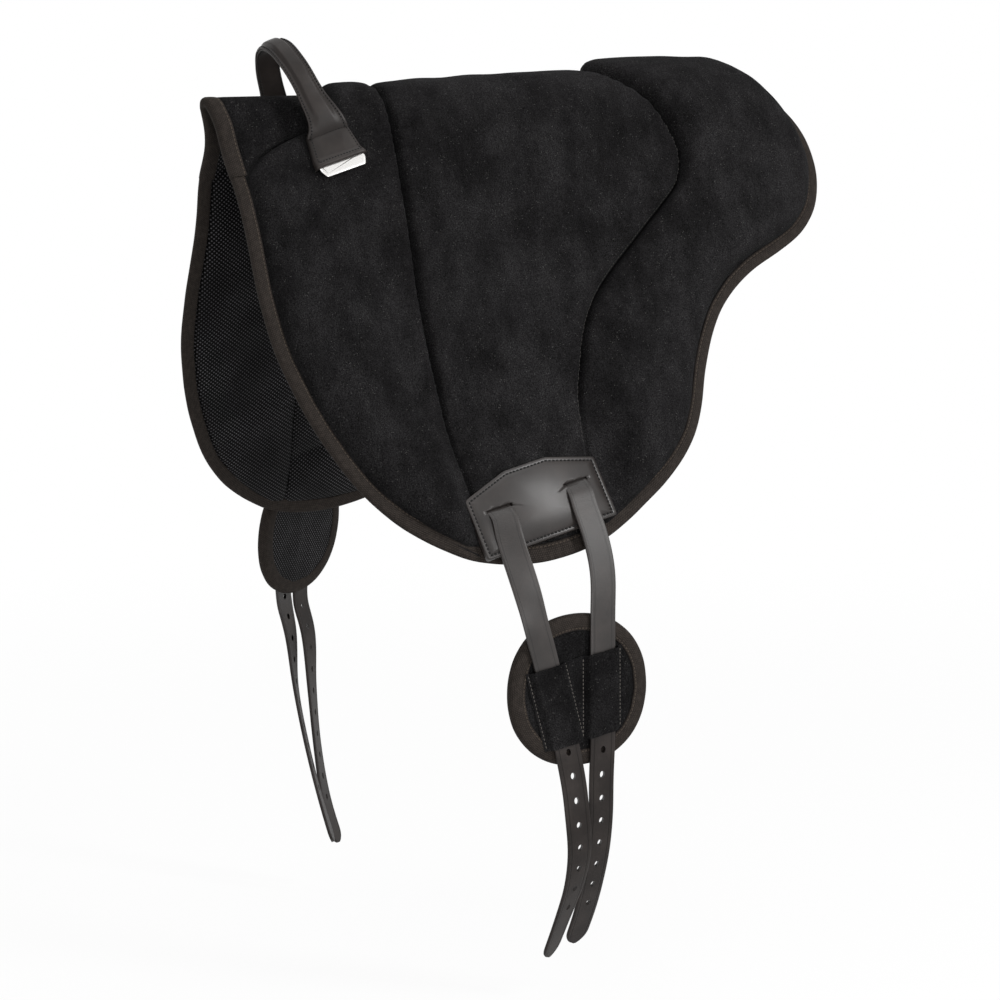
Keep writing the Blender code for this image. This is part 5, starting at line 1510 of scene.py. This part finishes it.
def handle_stations(spacing):
    """Stations and widths of the handle, foot over crest to foot."""
    tuck = patch_point(1, 0.5, HANDLE_TUCK_SHARE, HANDLE_TUCK_LIFT)
    foot = patch_point(1, 0.5, 0.0, HANDLE_LIFT - LAYER_GAP)
    edge = unit(patch_point(1, 1.0, 0.0, HANDLE_LIFT) - patch_point(1, 0.0, 0.0, HANDLE_LIFT))
    crest = unit((0.0, HANDLE_RISE, HANDLE_FORWARD))
    half, wides = [tuple(tuck)], [edge]
    for share_out, share_forward, share_up in HANDLE_SHARES:
        half.append((foot[0] * share_out, foot[1] - HANDLE_FORWARD * share_forward,
                     foot[2] + HANDLE_RISE * share_up))
        wides.append(crest + (edge - crest) * max(0.0, 1.0 - share_up / HANDLE_FLARE_SHARE))
    mirror = np.array([-1.0, 1.0, 1.0])
    points = half + [tuple(np.array(point) * mirror) for point in half[-2::-1]]
    all_wides = wides + [wide * mirror for wide in wides[-2::-1]]
    stations = stations_of(points, all_wides, spacing)
    share = stations[4] / stations[4][-1]
    near_end = np.clip(1.0 - np.minimum(share, 1.0 - share) / HANDLE_FLARE_LENGTH_SHARE, 0.0, 1.0)
    return stations, HANDLE_WIDTH + (HANDLE_FLARE_WIDTH - HANDLE_WIDTH) * near_end**1.9


def handle():
    """Handle: top leather raised over its core, with flat sewn margins, and a leather underside."""
    stations, widths = handle_stations(HANDLE_SPACING)
    centres, _, face, wide, at = stations
    face = -face
    skin = HANDLE_LEATHER
    roof = HANDLE_CORE + 2 * LAYER_GAP
    shares = np.linspace(0.5, -0.5, 41)
    raised = (1.0 - eased(np.abs(shares), 0.20, 0.37)) * (1.0 - 0.12 * (shares / 0.3) ** 2)
    lowest = np.where(np.abs(shares) > 0.49, 0.75, 1.0)
    padded = eased(np.minimum(at, at[-1] - at), HANDLE_TUCK_REACH / 3, HANDLE_TUCK_REACH * 2)
    over = np.stack([shares, skin * lowest, roof * raised], axis=1)
    under = np.stack([shares[::-1], 0.0 * shares, 0.0 * shares], axis=1)
    rings = []
    for across, height, padding in np.concatenate([over, under]):
        rise = (height + padding * padded)[:, None]
        rings.append(centres + wide * (widths * across)[:, None] + face * rise)
    item = ring_sweep("handle_leather", np.stack(rings, axis=1), at, sharp=55.0)
    dress(item, material("handle_leather", leather), "seat", ["handle_strap", "handle_core"])
    lower = (centres - face * (LAYER_GAP + skin / 2), stations[1], face, wide, at)
    item = strap("handle_underside", lower, widths - HANDLE_UNDER_TRIM, skin)
    dress(item, material("handle_leather", leather), "seat", ["handle_underlay"])
    faces = ((skin + HANDLE_THREAD_RISE, "top"), (-LAYER_GAP - skin - HANDLE_THREAD_RISE, "under"))
    for edge, word in ((-1, "front"), (1, "rear")):
        for rise, name in faces:
            path = centres + wide * (edge * widths * HANDLE_THREAD_SHARE)[:, None] + face * rise
            sew(f"handle_{word}_{name}_stitches", path, face, HANDLE_STITCH, "seat")


def handle_and_dees():
    """Handle, and on each side its patch and dee."""
    handle()
    for side, label in SIDES:
        handle_patch(side, label)
        dee(side, label)


# Stage

FLOOR_DROP = 0.800
STAGE_REACH = 9.0
CAMERA_AZIMUTH = math.radians(62.0)
CAMERA_ELEVATION = math.radians(6.4)
CAMERA_DISTANCE = 2.8
CAMERA_TARGET = (0.0, 0.009, -0.3755)
CAMERA_LENS_MM = 106.85
WORLD_STRENGTH = 0.45
CAMERA_SENSOR_MM = 36.0
CAMERA_CLIP_END = 60.0
GROUND_WHITE_SHARE = 0.93
PAD_MIDDLE = (0.0, 0.0, -0.35)
PLATE_MIDDLE = (0.21, -0.07, -0.42)
STRAPS_MIDDLE = (0.25, -0.05, -0.45)
# Lights: name, place, where it points, size and watts
LIGHTS = (("key", (2.4, -1.9, 1.9), PAD_MIDDLE, (1.6, 1.6), 20.0),
          ("satin", (2.10, 1.25, 0.95), PLATE_MIDDLE, (0.42, 1.8), 52.0),
          ("front", (2.6, -0.4, -0.35), STRAPS_MIDDLE, (0.6, 0.6), 14.0),
          ("top", (0.2, 0.0, 2.6), PAD_MIDDLE, (2.2, 2.2), 22.0),
          ("rim", (-1.8, -1.8, 0.6), PAD_MIDDLE, (1.0, 2.0), 8.0))


class Sky(Paint):
    """A world being made, with its tree."""

    def __init__(self, world):
        world.use_nodes = True
        self.tree = world.node_tree


def seen_directly(paint):
    """1 for rays from the camera, in glossy surfaces or through clear ones, and 0 for light on things."""
    path = paint.tree.nodes.new("ShaderNodeLightPath")
    seen = Wire(paint, path.outputs["Is Camera Ray"])
    for name in ("Is Glossy Ray", "Is Transmission Ray"):
        seen = seen + Wire(paint, path.outputs[name])
    return seen.step(0.0, 1.0)


def white_ground():
    """Pale matt ground that shows nearly white to the camera and in gloss, and all white far away."""
    paint = Paint("pale_ground")
    paint.finish((0.86, 0.86, 0.86), 0.95)
    light = paint.tree.nodes.new("ShaderNodeEmission")
    light.inputs["Color"].default_value = (1.0, 1.0, 1.0, 1.0)
    light.inputs["Strength"].default_value = 1.0
    away = paint.node("ShaderNodeVectorMath", {"operation": "LENGTH"}, {0: paint.place()}, output=1)
    factor = seen_directly(paint) * (away.step(1.0, 3.0) * (1.0 - GROUND_WHITE_SHARE) + GROUND_WHITE_SHARE)
    mixed = paint.tree.nodes.new("ShaderNodeMixShader")
    paint.tree.links.new(factor.socket, mixed.inputs[0])
    paint.tree.links.new(paint.shader.outputs[0], mixed.inputs[1])
    paint.tree.links.new(light.outputs[0], mixed.inputs[2])
    paint.tree.links.new(mixed.outputs[0], paint.tree.nodes["Material Output"].inputs[0])
    return paint.material


def area_light(name, place, target, size, power):
    """Rectangular light that points at its target."""
    lamp = bpy.data.lights.new(name, "AREA")
    lamp.shape = "RECTANGLE"
    lamp.size, lamp.size_y = size
    lamp.energy = power
    item = bpy.data.objects.new(name, lamp)
    item.location = place
    item.rotation_euler = (Vector(target) - Vector(place)).to_track_quat("-Z", "Y").to_euler()
    bpy.context.collection.objects.link(item)


def stage():
    """Floor, white surroundings, camera and lights."""
    mesh = bpy.data.meshes.new("floor")
    reach = STAGE_REACH
    corners = [(x * reach, y * reach, -FLOOR_DROP) for x, y in ((-1, -1), (1, -1), (1, 1), (-1, 1))]
    mesh.from_pydata(corners, [], [(0, 1, 2, 3)])
    floor = bpy.data.objects.new("floor", mesh)
    bpy.context.collection.objects.link(floor)
    mesh.materials.append(white_ground())
    scene = bpy.context.scene
    scene.view_settings.view_transform = "Standard"
    world = bpy.data.worlds.new("studio")
    scene.world = world
    sky = Sky(world)
    strength = seen_directly(sky) * (1.0 - WORLD_STRENGTH) + WORLD_STRENGTH
    background = world.node_tree.nodes["Background"]
    background.inputs["Color"].default_value = (1.0, 1.0, 1.0, 1.0)
    world.node_tree.links.new(strength.socket, background.inputs["Strength"])
    back = np.array([math.sin(CAMERA_AZIMUTH) * math.cos(CAMERA_ELEVATION),
                     -math.cos(CAMERA_AZIMUTH) * math.cos(CAMERA_ELEVATION), math.sin(CAMERA_ELEVATION)])
    camera = bpy.data.cameras.new("camera")
    camera.lens = CAMERA_LENS_MM
    camera.sensor_width = CAMERA_SENSOR_MM
    camera.clip_end = CAMERA_CLIP_END
    item = bpy.data.objects.new("camera", camera)
    item.location = np.array(CAMERA_TARGET) + back * CAMERA_DISTANCE
    item.rotation_euler = (-Vector(back)).to_track_quat("-Z", "Y").to_euler()
    bpy.context.collection.objects.link(item)
    scene.camera = item
    for light in LIGHTS:
        area_light(*light)


class PadStep:
    """What the operators share: each runs its own function once."""

    def execute(self, context):
        self.make()
        return {"FINISHED"}


class PAD_OT_panels(PadStep, bpy.types.Operator):
    """Make the padded suede panels of both sides"""
    bl_idname = "pad.panels"
    bl_label = "Suede panels"
    make = staticmethod(suede_panels)


class PAD_OT_linings(PadStep, bpy.types.Operator):
    """Make the mesh linings of both sides"""
    bl_idname = "pad.linings"
    bl_label = "Mesh linings"
    make = staticmethod(mesh_linings)


class PAD_OT_tapes(PadStep, bpy.types.Operator):
    """Make the binding tapes round the edges"""
    bl_idname = "pad.tapes"
    bl_label = "Edge tapes"
    make = staticmethod(edge_tapes)


class PAD_OT_straps(PadStep, bpy.types.Operator):
    """Make the girth plates and their billets"""
    bl_idname = "pad.straps"
    bl_label = "Plates and billets"
    make = staticmethod(plates_and_billets)


class PAD_OT_guards(PadStep, bpy.types.Operator):
    """Make the billet guards with their keepers"""
    bl_idname = "pad.guards"
    bl_label = "Billet guards"
    make = staticmethod(guards)


class PAD_OT_handle(PadStep, bpy.types.Operator):
    """Make the grab handle, its patches and the dees"""
    bl_idname = "pad.handle"
    bl_label = "Handle and dees"
    make = staticmethod(handle_and_dees)


class PAD_OT_stage(PadStep, bpy.types.Operator):
    """Make the floor, the lights and the camera"""
    bl_idname = "pad.stage"
    bl_label = "Stage"
    make = staticmethod(stage)


OPERATORS = (PAD_OT_panels, PAD_OT_linings, PAD_OT_tapes, PAD_OT_straps, PAD_OT_guards, PAD_OT_handle,
             PAD_OT_stage)


class PAD_PT_sidebar(bpy.types.Panel):
    """Sizes, colours and steps of the pad"""
    bl_label = "Bareback pad"
    bl_space_type = "VIEW_3D"
    bl_region_type = "UI"
    bl_category = "Pad"

    def draw(self, context):
        for name in PadSizes.__annotations__:
            self.layout.prop(context.scene.bareback_pad, name)
        for operator in OPERATORS:
            self.layout.operator(operator.bl_idname)


CLASSES = (PadSizes, *OPERATORS, PAD_PT_sidebar)


def register():
    for item in CLASSES:
        bpy.utils.register_class(item)
    bpy.types.Scene.bareback_pad = bpy.props.PointerProperty(type=PadSizes)


def unregister():
    del bpy.types.Scene.bareback_pad
    for item in reversed(CLASSES):
        bpy.utils.unregister_class(item)


def main():
    """Make all pieces and the stage."""
    register()
    bpy.ops.pad.panels()
    bpy.ops.pad.linings()
    bpy.ops.pad.tapes()
    bpy.ops.pad.straps()
    bpy.ops.pad.guards()
    bpy.ops.pad.handle()
    bpy.ops.pad.stage()


if __name__ == "__main__":
    main()
